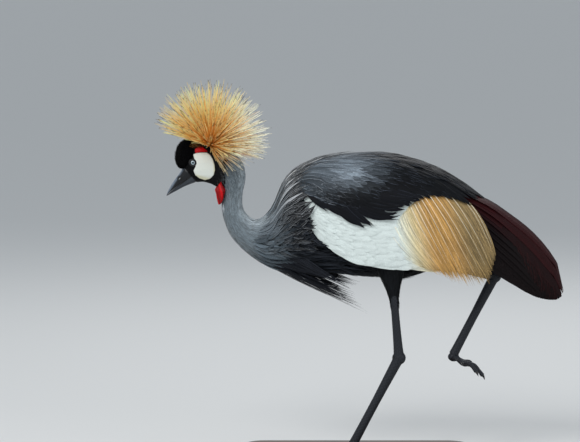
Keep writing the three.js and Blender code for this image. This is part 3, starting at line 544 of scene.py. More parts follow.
neck_count = 8200
spread = scattered(neck_count)
station = 3.4 + 8.6 * spread[:, 0] ** 0.8
angle = 2 * math.pi * spread[:, 1]
length = np.interp(station, [3.4, 5, 7, 9, 10.5, 12], [8, 14, 22, 30, 40, 48])
length = length * draw.uniform(0.8, 1.2, neck_count)
neck_spine, neck_out = along_body(station, angle, length, -2.2, draw.uniform(-0.4, 1.2, neck_count), 6)
neck_width = np.interp(station, [3.4, 7, 12], [0.9, 1.3, 2.1])
neck_tint = varied(coat_colour(station, angle), 0.66, 1.3, neck_count)
throat = (np.abs(angle - math.pi) < 0.7) & (np.abs(station - 5.9) < 0.22)
neck_tint = np.where(throat[:, None], paint(158, 165, 170), neck_tint)
tile_light = np.linspace(0.75, 1.35, 6)[:, None, None] * np.array([1.25, 0.85, 1.25])[:, None]
neck_finish = plumage("neck_feathers", 0.62, sheen=0.35, barbs=9.0)
finish(lay_vanes("neck_feathers", neck_spine, neck_out, neck_width, neck_tint, light=tile_light,
                 kept=~in_white(neck_spine[:, -1])),
       neck_finish, "grey_feathers")

head_count = 7000
spread = scattered(head_count)
station = 0.15 + 4.6 * spread[:, 0]
angle = 2 * math.pi * spread[:, 1]
head_length = np.interp(station, [0, 2, 5], [4, 6, 9]) * draw.uniform(0.8, 1.2, head_count)
head_spine, head_out = along_body(station, angle, head_length, -2.0, draw.uniform(-0.6, 0.5, head_count), 4)
head_width = np.interp(station, [0, 5], [0.6, 1.1])
from_eyes = [np.linalg.norm(head_spine[:, 0] - eye_place * [1, side, 1], axis=1) for side in (-1, 1)]
kept = (np.min(from_eyes, axis=0) > 9.5) & (face_black(head_spine[:, 0]) > 0.4)
head_tint = varied(paint(9, 9, 11), 0.6, 1.5, head_count)
finish(lay_vanes("head_feathers", head_spine, head_out, head_width, head_tint, kept=kept),
       plumage("head_feathers", 0.6, sheen=0.0, gloss=0.15), "face_feathers")

# Belly and thigh feathers
# Loose black feathers under the wings, along the belly and round the tops of the legs, with a
# shaggy fringe that closes the space between the belly and the golden plumes.
black_finish = plumage("black_feathers", 0.55, sheen=0.0, barbs=9.0, gloss=0.1)
belly_count = 5200
spread = scattered(belly_count)
station = 11.4 + 6.5 * spread[:, 0]
angle = math.pi + (spread[:, 1] - 0.5) * 2 * np.interp(station, [11.4, 13, 18], [2.9, 1.9, 1.9])
length = draw.uniform(22, 44, belly_count)
belly_spine, belly_out = along_body(station, angle, length, -2.4, draw.uniform(0, 2.4, belly_count), 6,
                                    stray=0.12)
belly_width = draw.uniform(1.2, 2.4, belly_count)
belly_tint = varied(paint(17, 19, 23), 0.6, 1.5, belly_count)
finish(lay_vanes("belly_feathers", belly_spine, belly_out, belly_width, belly_tint, light=tile_light,
                 kept=~in_white(belly_spine[:, -1])),
       black_finish, "black_feathers")

fringe_count = 1500
spread = scattered(fringe_count)
station = 14.2 + 2.2 * spread[:, 0]
angle = math.pi + (spread[:, 1] - 0.5) * 2 * 1.45
length = draw.uniform(46, 84, fringe_count)
sag = draw.uniform(4, 11, fringe_count) + 8 * smoothstep(station, 14.6, 16.0)
fringe_spine, fringe_out = along_body(station, angle, length, -3.0, sag, 8, stray=0.1)
fringe_width = draw.uniform(1.2, 2.3, fringe_count)
finish(lay_vanes("belly_fringe", fringe_spine, fringe_out, fringe_width,
                 varied(paint(13, 15, 18), 0.6, 1.5, fringe_count)),
       black_finish, "black_feathers")

hip_side = 38.0
thigh_count = 1500
thigh_radius = smooth_table([(0, 34), (0.3, 28), (0.55, 20.5), (0.8, 13), (1, 9.2)])
thigh_flattening = np.array([1, 0.72, 1])
share = np.linspace(0, 1, 6)
for name, side, top, end in (("left", -1, (-8, 392), (1, 306)), ("right", 1, (-25, 392), (112, 361))):
    spread = scattered(thigh_count)
    top, end = (np.array([x, side * hip_side, z]) for x, z in (top, end))
    long = np.linalg.norm(end - top)
    ahead = (end - top) / long
    turn = 2 * math.pi * spread[:, 1, None, None]
    thigh_out = unit(np.cross([0, 1, 0], ahead)) * np.cos(turn) + np.array([0, 1, 0]) * np.sin(turn)
    place = 0.2 + 0.78 * spread[:, 0:1] + draw.uniform(13, 24, (thigh_count, 1)) / long * share
    lift = draw.uniform(1.2, 3.4, (thigh_count, 1)) * share - 1.6
    radius = thigh_radius(np.minimum(place, 1.04)) + lift
    thigh_spine = top + ahead * (place * long)[..., None] + thigh_out * thigh_flattening * radius[..., None]
    thigh_width = draw.uniform(0.8, 1.5, thigh_count)
    thigh_tint = varied(paint(15, 17, 20), 0.6, 1.6, thigh_count)
    finish(lay_vanes(f"thigh_feathers_{name}", thigh_spine, thigh_out, thigh_width, thigh_tint),
           black_finish, "black_feathers")

# Breast plumes
# Long narrow black plumes hang loose in locks from the foot of the neck and sweep back under the
# belly; shorter ones lie along the flanks, and pale-edged hackles rise over the shoulders.
plume_count = 260
lock_count = 18
lock_rounds = (np.arange(lock_count) // 2 * 4 % 9 + 0.5) / 9
plume_spines, plume_outs = [], []
for number in range(plume_count):
    lock = number % lock_count
    lock_round = lock_rounds[lock]
    side = -1 if lock % 2 else 1
    upper = lock % 5 < 2
    round_share = 0.62 + 0.38 * lock_round if upper else 0.6 * lock_round
    turn = side * (math.pi - (0.02 + 1.25 * round_share)) + 0.05 * draw.normal()
    row_share = draw.random()
    station = 11.4 - 0.7 * row_share
    start = body_point(station, turn, -3.0)
    away = unit(body_point(station, turn, 4.0) - start)
    aim = np.array([-48 - 30 * lock_round, 4 + 38 * lock_round, 266 + 44 * lock_round])
    if upper:
        aim = np.array([-76, 34 + 18 * lock_round, 334 - 10 * lock_round])
    tip = aim * [1, side, 1] + draw.normal(size=3) * [5, 1.4, 0.8]
    leave = start + away * (4 + 7 * row_share) + np.array([24, 0, -5])
    tip = leave + (tip - leave) * draw.uniform(0.62, 1.04)
    middle = (leave + tip) / 2 + np.array([0, side * 4 * round_share, 1.5 - 5 * row_share])
    plume_spines.append(smooth_course([start, leave, middle, tip])(np.linspace(0, 1, 12)))
    plume_outs.append([away])
plume_width = draw.uniform(0.5, 1.2, plume_count)
plume_tint = varied(paint(25, 27, 32), 0.5, 1.5, plume_count)
ribbon = smooth_table([(0, 0.9), (0.25, 1.1), (0.6, 1.0), (0.88, 0.5), (1, 0.05)])
finish(lay_vanes("breast_plumes", np.array(plume_spines), np.array(plume_outs), plume_width, plume_tint,
                 shape=ribbon,
                 edges=(-1, -0.6, 0, 0.6, 1), light=np.array([4.2, 1.2, 0.6, 1.0, 2.2])[:, None]),
       black_finish, "black_feathers")


# Tint of feathers at the neck's foot: the coat's own at their roots, theirs from fade_end on, and
# the neck's grey again in front of the shoulder
def neck_foot_tint(station, angle, spine, tint, fade_end, grey_share, grey_from, grey_to):
    count, rows = spine.shape[:2]
    fade_in = smoothstep(np.linspace(0, 1, rows), 0.05, fade_end)[:, None, None]
    tint = mix(coat_colour(station, angle)[:, None, None], tint, fade_in)
    neck_grey = paint(98, 109, 117) * np.array([1.3, 1, 0.8, 1, 1.3])[:, None]
    fore = grey_share * smoothstep(spine[..., 0], grey_from, grey_to)[:, :, None, None]
    return mix(tint, neck_grey * draw.uniform(0.6, 1.3, (count, 1, 1, 1)), fore)


flank_count = 420
spread = scattered(flank_count)
station = 10.1 + 2.8 * spread[:, 0] ** 0.75
off_keel = 0.35 + 1.35 * spread[:, 1]
angle = math.pi + np.where(np.arange(flank_count) % 2, 1, -1) * off_keel
length = draw.uniform(58, 92, flank_count) * mix(1.0, 0.36, smoothstep(off_keel, 0.9, 1.35))
tip_lift = draw.uniform(3, 8, flank_count) + 8 * smoothstep(off_keel, 0.95, 1.3)
flank_spine, flank_out = along_body(station, angle, length, -1.6, tip_lift, 10, stray=0.12)
flank_width = draw.uniform(2.2, 3.4, flank_count)
flank_tint = varied(paint(27, 30, 35), 0.6, 1.5, flank_count)[:, None, None]
flank_tint = flank_tint * np.array([3.8, 1.0, 0.7, 1.0, 3.8])[:, None]
flank_tint = neck_foot_tint(station, angle, flank_spine, flank_tint, 0.5, 0.9, -178, -240)
finish(lay_vanes("flank_plumes", flank_spine, flank_out, flank_width, flank_tint,
                 edges=(-1, -0.7, 0, 0.7, 1),
                 kept=~in_white(flank_spine[:, -1])), black_finish, "black_feathers")

hackle_count = 860
spread = scattered(hackle_count)
station = 10.3 + 1.9 * spread[:, 0] ** 0.8
angle = (spread[:, 1] - 0.5) * 2 * 2.0
off_ridge = np.abs(angle)
length = draw.uniform(70, 118, hackle_count) * mix(1.0, 0.38, smoothstep(off_ridge, 0.7, 1.3))
tip_lift = draw.uniform(8, 19, hackle_count) * mix(
    mix(0.78, 1.0, smoothstep(off_ridge, 0.2, 0.6)), 0.86, smoothstep(off_ridge, 0.8, 1.35))
hackle_spine, hackle_out = along_body(station, angle, length, -1.5, tip_lift, 11, stray=0.1)
hackle_width = draw.uniform(1.7, 3.0, hackle_count)
toward_flank = off_ridge[:, None] / 2.0
hackle_core = mix(paint(38, 42, 48), paint(15, 17, 21), toward_flank ** 0.6)
hackle_edge = mix(paint(240, 243, 246), paint(104, 111, 120), toward_flank ** 1.3)
hackle_edge = varied(hackle_edge, 0.4, 1.35, hackle_count)
pale_share = 0.3 * smoothstep(station, 12.0, 11.0)[:, None] - 0.5 * toward_flank
hackle_core = np.where(draw.random((hackle_count, 1)) < pale_share, hackle_edge * 0.8, hackle_core)
# Painted light from above: each hackle's upper edge takes the pale edge colour and its lower edge is
# darkened to a third of it
on_left = (angle < 0)[:, None]
hackle_tint = np.stack([np.where(on_left, hackle_edge, hackle_edge * 0.35), hackle_core,
                        hackle_core * 0.6, hackle_core,
                        np.where(on_left, hackle_edge * 0.35, hackle_edge)], axis=1)[:, None]
hackle_tint = neck_foot_tint(station, angle, hackle_spine, hackle_tint, 0.45, 0.8, -190, -248)
finish(lay_vanes("hackles", hackle_spine, hackle_out, hackle_width, hackle_tint,
                 edges=(-1, -0.6, 0, 0.6, 1),
                 kept=~in_white(hackle_spine[:, -1])), neck_finish, "grey_feathers")

# Mantle
# Long dark slate feathers from the shoulders to the rump. They lie in rows like tiles, each with
# a fine pale edge and a pointed tip, and the lowest tips stick out over the wing.

# Surface that the folded wings and mantle share: q is 0 on the ridge, 1 where the flank stands upright
ridge_height = smooth_table([
    (-214, 520), (-185, 560), (-138, 581), (-55, 590), (14, 585), (94, 561),
    (157, 525), (214, 480), (261, 445), (298, 407), (327, 359), (335, 300),
])
shell_half_width = smooth_table([
    (-214, 52), (-170, 78), (-100, 89), (-20, 92), (60, 88), (140, 80), (214, 70), (270, 58), (310, 44),
    (335, 28),
])
shell_depth = smooth_table([
    (-214, 60), (-170, 85), (-100, 100), (140, 100), (214, 95), (270, 90), (310, 80), (335, 60),
])


def shell_base(x, q):
    turn = np.minimum(np.abs(q), 1) * math.pi / 2
    drop = np.maximum(np.abs(q) - 1, 0)
    y = np.sign(q) * shell_half_width(x) * (np.sin(turn) - 0.08 * drop * drop)
    return np.stack([x, y, ridge_height(x) - shell_depth(x) * (1 - np.cos(turn) + drop)], axis=-1)


# Points lifted off that surface, and its outward directions there
def on_shell(x, q, lift):
    x, q, lift = together(x, q, lift)
    along_x = shell_base(x + 1, q) - shell_base(x - 1, q)
    along_q = shell_base(x, q + 0.01) - shell_base(x, q - 0.01)
    out = unit(np.cross(along_x, along_q))
    return shell_base(x, q) + out * lift[..., None], out


# q of the point that the photo shows at x and z: the lens looks down a little, so the side
# that faces it lies higher than it seems to
def shell_turn(x, z):
    def turned(height):
        fall = (ridge_height(x) - height) / shell_depth(x)
        return np.where(fall > 1, fall, np.arccos(1 - np.clip(fall, 0, 1)) / (math.pi / 2))

    bulge = shell_half_width(x) * np.sin(np.minimum(turned(z), 1) * math.pi / 2)
    return turned(z + bulge * math.sin(view_rise))


mantle_edge = smooth_table([
    (-200, 502), (-154, 494), (-122, 482), (-76, 472), (-32, 472), (12, 480), (52, 498), (88, 504),
    (144, 493), (206, 476),
])


# line is 0 at the left edge, 1 on the ridge and 2 at the right edge; along runs from front to back
def mantle_flow(line, along, lift):
    side = np.where(line > 1, 1, -1)
    share = np.where(line > 1, 2 - line, line)
    edge_x = mix(-122, 198, share)
    edge_q = shell_turn(edge_x, mantle_edge(edge_x)) * np.where(share > 0.85, (1 - share) / 0.15, 1)
    return on_shell(mix(-198, edge_x, along), side * mix(0.62 * (1 - share), edge_q, along), lift)


def banded(*tints):
    return np.stack(tints, axis=1)[:, None]


mantle_count = 1500
spread = scattered(mantle_count)
line = 0.015 + 1.97 * spread[:, 0]
from_along = 0.86 * spread[:, 1] ** 0.9 - 0.04
over = mix(0.36, 0.24, from_along) * draw.uniform(0.85, 1.15, mantle_count)
share = np.linspace(0, 1, 11)
to_along = np.minimum(from_along + over, 1.025 - 0.05 * draw.random(mantle_count))
along = from_along[:, None] + (to_along - from_along)[:, None] * share
lines = np.clip(line[:, None] + 0.012 * draw.normal(size=(mantle_count, 1)) * share, 0.003, 1.997)
near_ridge = smoothstep(np.minimum(lines, 2 - lines), 0.7, 0.95)
mantle_lift = mix(-0.6, mix(-6.2, -7.4, near_ridge), smoothstep(along, 0.45, 1.0))
mantle_lift = mantle_lift - 4.2 * (1 - share ** 0.7) + draw.uniform(-0.5, 0.9, (mantle_count, 1)) * share
mantle_spine, mantle_out = mantle_flow(lines, along, mantle_lift)
x, z = mantle_spine[:, 4, 0:1], mantle_spine[:, 4, 2:3]
# Painted highlight: a soft pale blue-grey patch on the front of the shoulders lightens the slate there, and
# the pale edges under it too
painted_shine = np.exp(-((x + 128) / 46) ** 2 - ((z - 560) / 20) ** 2)
painted_gleam = 0.85 * painted_shine * draw.uniform(0.6, 1.1, (mantle_count, 1))
slate = mix(paint(9, 11, 15), paint(146, 158, 169), painted_gleam)
slate = varied(mix(slate, paint(66, 74, 81), 0.6 * smoothstep(x, -120, -190)), 0.7, 1.3, mantle_count)
pale = slate * (1 + 0.9 * draw.random((mantle_count, 1)) ** 2)
frosted = mix(0.34, 0.8, smoothstep(x, 40, -60)) * (draw.random((mantle_count, 1)) > 0.62)
pale = pale + paint(92, 101, 116) * frosted
streaked = smoothstep(x, -95, -165) * (draw.random((mantle_count, 1)) < 0.7)
# The pale edges whiten where the real streaks run at the front, and also under the painted highlight on the
# shoulder
pale = mix(pale, paint(206, 214, 222),
           np.maximum(0.8 * streaked, 0.75 * painted_shine) * draw.random((mantle_count, 1)))
mantle_finish = plumage("mantle_feathers", 0.5, sheen=0.0, barbs=7.0, gloss=0.12)
finish(lay_vanes("mantle_feathers", mantle_spine, mantle_out,
                 np.interp(from_along, [0, 0.3, 0.8], [4.2, 6.2, 5.2]),
                 banded(pale, slate, slate * 0.8, slate * 1.15, slate * 0.8, slate, pale),
                 edges=(-1, -0.78, -0.1, 0, 0.1, 0.78, 1), camber=0.16), mantle_finish, "mantle", "mantle")


# Curve from start to tip, through middle at its half
def arc(start, middle, tip, share):
    u = share[..., None]
    return start * (1 - u) ** 2 + 2 * (2 * middle - (start + tip) / 2) * u * (1 - u) + tip * u * u


# Long pointed tips that reach out over the white of the wing: x, z of tip, bend and root of each
# group, and the number of its feathers
tip_groups = [
    ((-126, 473), (-155, 500), (-180, 532), 5), ((-84, 461), (-122, 486), (-162, 530), 6),
    ((-58, 445), (-98, 476), (-134, 528), 9), ((-42, 447), (-88, 480), (-120, 532), 9),
    ((-20, 462), (-72, 484), (-114, 528), 5), ((8, 466), (-54, 475), (-112, 512), 9),
    ((20, 480), (-32, 488), (-90, 520), 6), ((32, 490), (-20, 501), (-76, 532), 8),
    ((54, 498), (6, 510), (-50, 538), 6),
]
tip_strays = (3.4, 4.5, 7)
share = np.linspace(0, 1, 14)
tips = []
for *knots, number in tip_groups:
    for feather in range(2 * number):
        side = -1 if feather < number else 1
        tip, bend, root = (
            np.array(knot) + draw.normal(size=2) * stray for knot, stray in zip(knots, tip_strays))
        x, z = arc(root, bend, tip, share).T
        lift = mix(-4.5, -5.6, share) + 1.2 * draw.random() * share - 2.5 * (1 - share) ** 3
        tips.append(on_shell(x, side * shell_turn(x, z), lift))
tip_spine, tip_out = np.array(tips).swapaxes(0, 1)
tip_core = varied(paint(12, 14, 20), 0.7, 1.3, len(tips))
tip_rim = tip_core * 1.6 + paint(92, 101, 116) * (0.3 * (draw.random((len(tips), 1)) > 0.7))
spear = smooth_table([(0, 0.3), (0.3, 0.9), (0.62, 1.0), (0.82, 0.62), (0.94, 0.22), (1, 0.02)])
finish(lay_vanes("mantle_tips", tip_spine, tip_out, draw.uniform(2.8, 4.6, len(tips)),
                 banded(tip_rim, tip_core, tip_core * 0.8, tip_core * 1.3, tip_core * 0.8, tip_core,
                        tip_rim), shape=spear,
                 edges=(-1, -0.86, -0.1, 0, 0.1, 0.86, 1), camber=0.12), mantle_finish, "mantle")

# Wings
# The folded arm shows the broad white coverts, then loose golden plumes with pale quills that hang
# over the flank, and the deep maroon flight feathers that arch down over the tail. Black hand
# feathers lie under them.
plume_start = smooth_course([(-16, 412), (14, 462), (46, 494), (86, 508), (148, 500)])
plume_bend = smooth_course([(12, 384), (36, 416), (76, 434), (123, 451), (178, 454)])
plume_tip = smooth_course([(50, 362), (84, 353), (122, 344), (180, 343), (198, 388)])
secondary_tip = smooth_course([
    (334, 303), (318, 300), (297, 301), (277, 307), (258, 320), (236, 338), (203, 362),
])
blade = smooth_table([(0, 0.6), (0.3, 1.0), (0.7, 1.0), (0.92, 0.72), (1, 0.2)])
strand = dict(edges=(-1, 1), camber=0.0)
stiff_vane = dict(shape=blade, edges=(-1, -0.08, 0, 0.08, 1), camber=0.1,
                  light=np.array([1.0, 0.9, 2.2, 0.9, 1.0])[:, None])


# line is 0 at the front or upper edge of each set of feathers and 1 at its rear or lower edge
def golden_flow(line, along, side, lift):
    point = arc(plume_start(line), plume_bend(line), plume_tip(line), along)
    x, z = point[..., 0], point[..., 1]
    return on_shell(x, side * shell_turn(x, z), lift)


def maroon_flow(line, along, side, lift):
    tip = secondary_tip(line)
    root_q = shell_turn(80.0, mix(560, 402, line))
    tip_q = np.maximum(shell_turn(tip[..., 0], tip[..., 1]), 0.03)
    x = mix(80, tip[..., 0], along)
    q = np.maximum(mix(root_q, tip_q, along ** 1.3), 0.005)
    topmost = np.clip(1 - 3 * line, 0, 1)
    rise = mix(14, 19.5, topmost) * smoothstep(x + 84 * topmost, 212, 296)
    return on_shell(x, side * q, lift + rise)


def golden_colour(point):
    x, z = point[..., 0:1], point[..., 2:3]
    slant = x + 0.25 * (z - 430)
    tint = mix(paint(216, 224, 216), paint(216, 202, 158), smoothstep(slant, 6, 44))
    tint = mix(tint, paint(186, 142, 78), smoothstep(slant, 28, 76))
    tint = mix(tint, paint(136, 114, 74), smoothstep(x + 0.3 * (z - 430), 100, 146))
    return mix(tint, paint(180, 146, 86), 0.5 * smoothstep(z, 380, 345) * smoothstep(x, 70, 100))


white_finish = plumage("white_feathers", 0.7, sheen=0.3, contrast=0.08, barbs=7.0, bump=0.1)
golden_finish = plumage("golden_plumes", 0.6, sheen=0.3, contrast=0.25)
maroon_finish = plumage("maroon_feathers", 0.55, sheen=0.0, barbs=7.0, gloss=0.1)
white_count = 1100
hair_count = 3600
quill_count = 17
vane_count = 32
barb_count = 3000
hand_count = 7
for wing, side in (("left", -1), ("right", 1)):
    spread = scattered(white_count)
    from_x = mix(-180, 24, spread[:, 0])
    length = np.interp(from_x, [-180, -60, 24], [36, 70, 56]) * draw.uniform(0.8, 1.2, white_count)
    share = np.linspace(0, 1, 9)
    x = from_x[:, None] + length[:, None] * share
    level = 0.12 + 0.9 * spread[:, 1:2] + 0.02 * draw.normal(size=(white_count, 1)) * share
    base = mix(-12.5, -16.6, smoothstep(x, -50, 45))
    lift = base + (1.2 + 2.6 * draw.random((white_count, 1))) * share
    spine, out = on_shell(x, side * mix(0.34, shell_turn(x, wing_edge(x)), level), lift)
    tint = mix(paint(216, 226, 223), paint(222, 214, 184), smoothstep(spine[..., 0:1], 20, 70))
    tint = tint * draw.uniform(0.93, 1.04, (white_count, 1, 1))
    width = np.interp(from_x, [-172, -100, 52], [3.2, 6.5, 6.0])
    finish(lay_vanes(f"white_coverts_{wing}", spine, out, width, tint, shape=blade,
                     edges=(-1, -0.5, 0, 0.5, 1), camber=0.1,
                     light=np.array([0.97, 1.0, 1.02, 1.0, 0.97])[:, None]),
           white_finish, "white_feathers")

    spread = scattered(hair_count)
    line = spread[:, 0:1] ** 0.9
    start_along = 0.45 * spread[:, 1:2] ** 1.5 - 0.02
    end_along = np.minimum(start_along + draw.uniform(0.55, 0.8, (hair_count, 1)), 1.0)
    ragged = mix(0.035, 0.015, smoothstep(line, 0.6, 0.8))
    end_along = end_along + ragged * draw.normal(size=(hair_count, 1))
    along = start_along + (end_along - start_along) * share
    sway = 0.022 * draw.normal(size=(hair_count, 1)) * share ** 1.4
    lift = -13.2 + draw.uniform(0, 3.6, (hair_count, 1)) * (0.35 + 0.65 * share)
    lift = lift - 3.4 * smoothstep(line, 0.2, 0.0)
    spine, out = golden_flow(np.clip(line + sway, 0, 1), along, side, lift)
    width = draw.uniform(0.45, 1.15, hair_count)
    shade = draw.uniform(-1, 1, (hair_count, 1)) * mix(0.36, 0.55, smoothstep(line, 0.55, 0.8))
    tint = golden_colour(spine) * (1 + shade)[:, None]
    finish(lay_vanes(f"golden_plumes_{wing}", spine, out, width, tint, **strand), golden_finish,
           "golden_plumes", f"plumes_{wing}")

    even = (np.arange(quill_count)[:, None] + 0.5) / quill_count
    line = np.clip(even + 0.018 * draw.normal(size=(quill_count, 1)), 0, 1)
    share = np.linspace(0, 1, 14)
    along = 0.02 + 0.95 * share * draw.uniform(0.86, 1.0, (quill_count, 1))
    spine, out = golden_flow(line, along, side, -9.4 - 3.4 * smoothstep(line, 0.2, 0.0))
    tint = mix(paint(246, 238, 214), golden_colour(spine), 0.5 * share[:, None] ** 2)
    finish(lay_vanes(f"golden_quills_{wing}", spine, out, draw.uniform(0.4, 0.75, quill_count), tint,
                     shape=lambda share: 1 - 0.75 * share, **strand), golden_finish, "golden_plumes")

    number = np.arange(vane_count)[:, None]
    line = ((number + 0.1) / vane_count) ** 1.5
    along = 0.02 + 0.974 * np.linspace(0, 1, 18)
    spine, out = maroon_flow(line, along, side, -20.5 + 1.6 * (number % 2))
    base = mix(paint(48, 13, 15), paint(13, 7, 8), smoothstep(line, 0.0, 0.1))
    quill = mix(paint(96, 56, 54), paint(28, 16, 17), smoothstep(line, 0.0, 0.03))
    finish(lay_vanes(f"maroon_vanes_{wing}", spine, out, 12,
                     banded(base * 0.7, base, base * 0.9, quill, base * 0.9, base, base * 1.3), shape=blade,
                     edges=(-1, -0.8, -0.05, 0, 0.05, 0.8, 1), camber=0.08),
           maroon_finish, "maroon_feathers", f"secondaries_{wing}")

    spread = scattered(barb_count)
    share = np.linspace(0, 1, 7)
    line = 0.05 + 0.85 * spread[:, 0:1]
    reach = 0.22 + 0.74 * spread[:, 1:2]
    along = np.minimum(reach + draw.uniform(0.05, 0.14, (barb_count, 1)) * share, 0.995)
    lines = np.minimum(line + draw.uniform(0.12, 0.3, (barb_count, 1)) * share, 1.0)
    spine, out = maroon_flow(lines, along, side, -19.0 + 2.0 * draw.random((barb_count, 1)) * share ** 0.5)
    width = draw.uniform(0.5, 1.1, barb_count)
    tint = mix(paint(34, 11, 12), paint(15, 8, 9), smoothstep(line, 0.05, 0.16))
    tint = varied(tint, 0.6, 1.5, barb_count)
    finish(lay_vanes(f"maroon_barbs_{wing}", spine, out, width, tint, **strand), maroon_finish,
           "maroon_feathers")

    line = (np.arange(hand_count)[:, None] + 0.5) / hand_count
    along = 0.02 + 0.98 * np.linspace(0, 1, 12)
    x = mix(80, mix(262, 226, line), along)
    z = mix(mix(470, 412, line), mix(384, 366, line), along ** 1.2)
    spine, out = on_shell(x, side * shell_turn(x, z), -27.0 + 0.8 * np.sin(9 * line))
    finish(lay_vanes(f"black_primaries_{wing}", spine, out, 8.5, paint(22, 22, 26), **stiff_vane),
           black_finish, "black_feathers", f"primaries_{wing}")

# Tail
# Twelve black vanes fan out under the wings from the rump, and five coverts lie along the middle
# and close the line where the two folded wings meet.
share = np.linspace(0, 1, 12)
place = (np.arange(12)[:, None] + 0.5) / 6 - 1
x = mix(200, 282 - 12 * place ** 2, share)
z = mix(438, 334 + 12 * place ** 2, share) - 12 * place ** 2 * share + 1.2 * np.cos(14 * place)
tail_spine = np.stack([x, mix(4, 26, share) * place, z], axis=-1)
finish(lay_vanes("tail_feathers", tail_spine, unit(np.array([0.75, 0.0, 0.65])), 7.5, paint(22, 22, 26),
                 **stiff_vane), black_finish, "black_feathers", "tail")
place = np.linspace(-1, 1, 5)[:, None]
tail_spine = on_shell(mix(190, 327, share) + 0 * place, 0.03, mix(-30, -10, share))[0]
tail_spine[..., 1] = 5 * place
finish(lay_vanes("tail_coverts", tail_spine, unit(np.array([0.45, 0.0, 0.9])), 7, paint(22, 22, 26),
                 **stiff_vane), black_finish, "black_feathers")

# Crest
# A round fan of stiff straw-gold bristles from the back of the crown. They are orange-gold in the
# heart, cream outside, and many end in a black point; the lowest lie along the nape.
crest_root = np.array([-357.0, 0.0, 599.0])
crest_lean = math.radians(43)
bristle_length = smooth_table([
    (-65, 60), (-45, 75), (-20, 98), (0, 112), (35, 125), (85, 135), (125, 132), (145, 123), (162, 107),
])
lowest_rise = smooth_table([(0, -60), (60, -40), (90, 2), (120, 13), (150, 18), (180, 22)])


# Three-sided spines that taper to a point, from their middle lines
def lay_spines(name, spine, radius, tint):
    count, rows = radius.shape
    tangent = unit(np.gradient(spine, axis=1))
    across = unit(np.cross(tangent, np.array([0.31, 0.95, 0.05])))
    up = np.cross(across, tangent)
    turn = np.arange(3)[:, None] * 2 * math.pi / 3
    ring = across[:, :, None] * np.cos(turn) + up[:, :, None] * np.sin(turn)
    points = spine[:, :, None] + ring * radius[:, :, None, None]
    faces = grid_faces(count, rows, 3, ring=True)[:, [0, 3, 2, 1]]
    tint = np.broadcast_to(tint[:, :, None], points.shape)
    return mesh_piece(name, points, faces, tint, root_patch(spine, 0.001 * np.arange(-1, 2)))


# Vectors turned about the y axis
def leant(vectors, angle):
    x, y, z = np.moveaxis(vectors, -1, 0)
    return np.stack([x * math.cos(angle) + z * math.sin(angle), y,
                     z * math.cos(angle) - x * math.sin(angle)], axis=-1)


def tree_of(points):
    tree = KDTree(len(points))
    for number, point in enumerate(points):
        tree.insert(point, number)
    tree.balance()
    return tree


# Moves points that would lie in the head or neck out to its side
def clear_of_nape(points):
    for at in np.arange(2, 8.1, 0.25):
        upper, lower = body_point(at, 0.0), body_point(at, math.pi)
        up = unit(upper - lower)
        offset = points - (upper + lower) / 2
        ahead = np.array([up[2], 0, -up[0]])
        high = (offset @ up) / (np.linalg.norm(upper - lower) / 2 + 3)
        least = (body_point(at, math.pi / 2)[1] + 2.4) * np.sqrt(np.clip(1 - high ** 2, 0, 1))
        inside = (np.abs(offset @ ahead) < 8) & (np.abs(high) < 0.98) & (np.abs(points[..., 1]) < least)
        points[..., 1] = np.where(inside, np.where(points[..., 1] < 0, -least, least), points[..., 1])
    return points


bristle_count = 2100
order = np.arange(bristle_count) + 0.5
from_middle = np.arccos(1 - order / bristle_count * (1 - math.cos(math.radians(114))))
around = order * math.pi * (3 - math.sqrt(5))
way = np.stack([np.sin(from_middle) * np.cos(around), np.sin(from_middle) * np.sin(around),
                np.cos(from_middle)], axis=1)
way = unit(leant(way, crest_lean) + 0.035 * draw.normal(size=way.shape))
locks = way[::7]
lock_tree = tree_of(locks)
way = unit(way + 0.2 * (locks[[lock_tree.find(single)[1] for single in way]] - way))
heading = np.degrees(np.arccos(way[:, 0] / np.maximum(np.hypot(way[:, 0], way[:, 1]), 1e-6)))
rise = np.degrees(np.arcsin(way[:, 2]))
kept = (rise > lowest_rise(heading)) & ((rise > -10) | (draw.random(bristle_count) < 0.3))
way, rise = way[kept], rise[kept]
bristle_count = len(way)
seen = np.degrees(np.arctan2(way[:, 2], way[:, 0]))
inner = draw.random(bristle_count) < 0.45
short, long = draw.uniform(0.55, 0.9, bristle_count), draw.uniform(0.86, 1.02, bristle_count)
length = bristle_length(np.where(seen < -70, 180, seen)) * np.where(inner, short, long)
low = rise < -12
length = np.where(low, length * draw.uniform(0.6, 1.0, bristle_count), length)[:, None]
share = np.linspace(0, 1, 15)
start = crest_root + way * 3 + np.array([1, 0, 1]) * np.where(low, 0, 1)[:, None]
start[:, 1] += np.where(low, np.sign(way[:, 1]) * 9, 0)
bend = 2.0 * draw.normal(size=(bristle_count, 1, 3))
bristle_spine = start[:, None] + way[:, None] * (length * share)[..., None] + bend * share[:, None] ** 2
bristle_spine[..., 2] -= 6 * share ** 2
bristle_spine[low, 2:] = clear_of_nape(bristle_spine[low, 2:])
bristle_radius = draw.uniform(0.44, 0.74, (bristle_count, 1)) * (1 - 0.4 * share ** 2)
rearward = smoothstep(way[:, 0:1], 0.2, 0.8)
heart = mix(paint(150, 88, 36), paint(255, 178, 86), smoothstep(share, 0.02, 0.24)[:, None])
outer = mix(paint(255, 224, 156), paint(255, 244, 214), rearward)[:, None]
outward = smoothstep(share + 0.12 * draw.normal(size=(bristle_count, 1)), 0.42, 0.85)
bristle_tint = mix(heart, outer, outward[..., None])
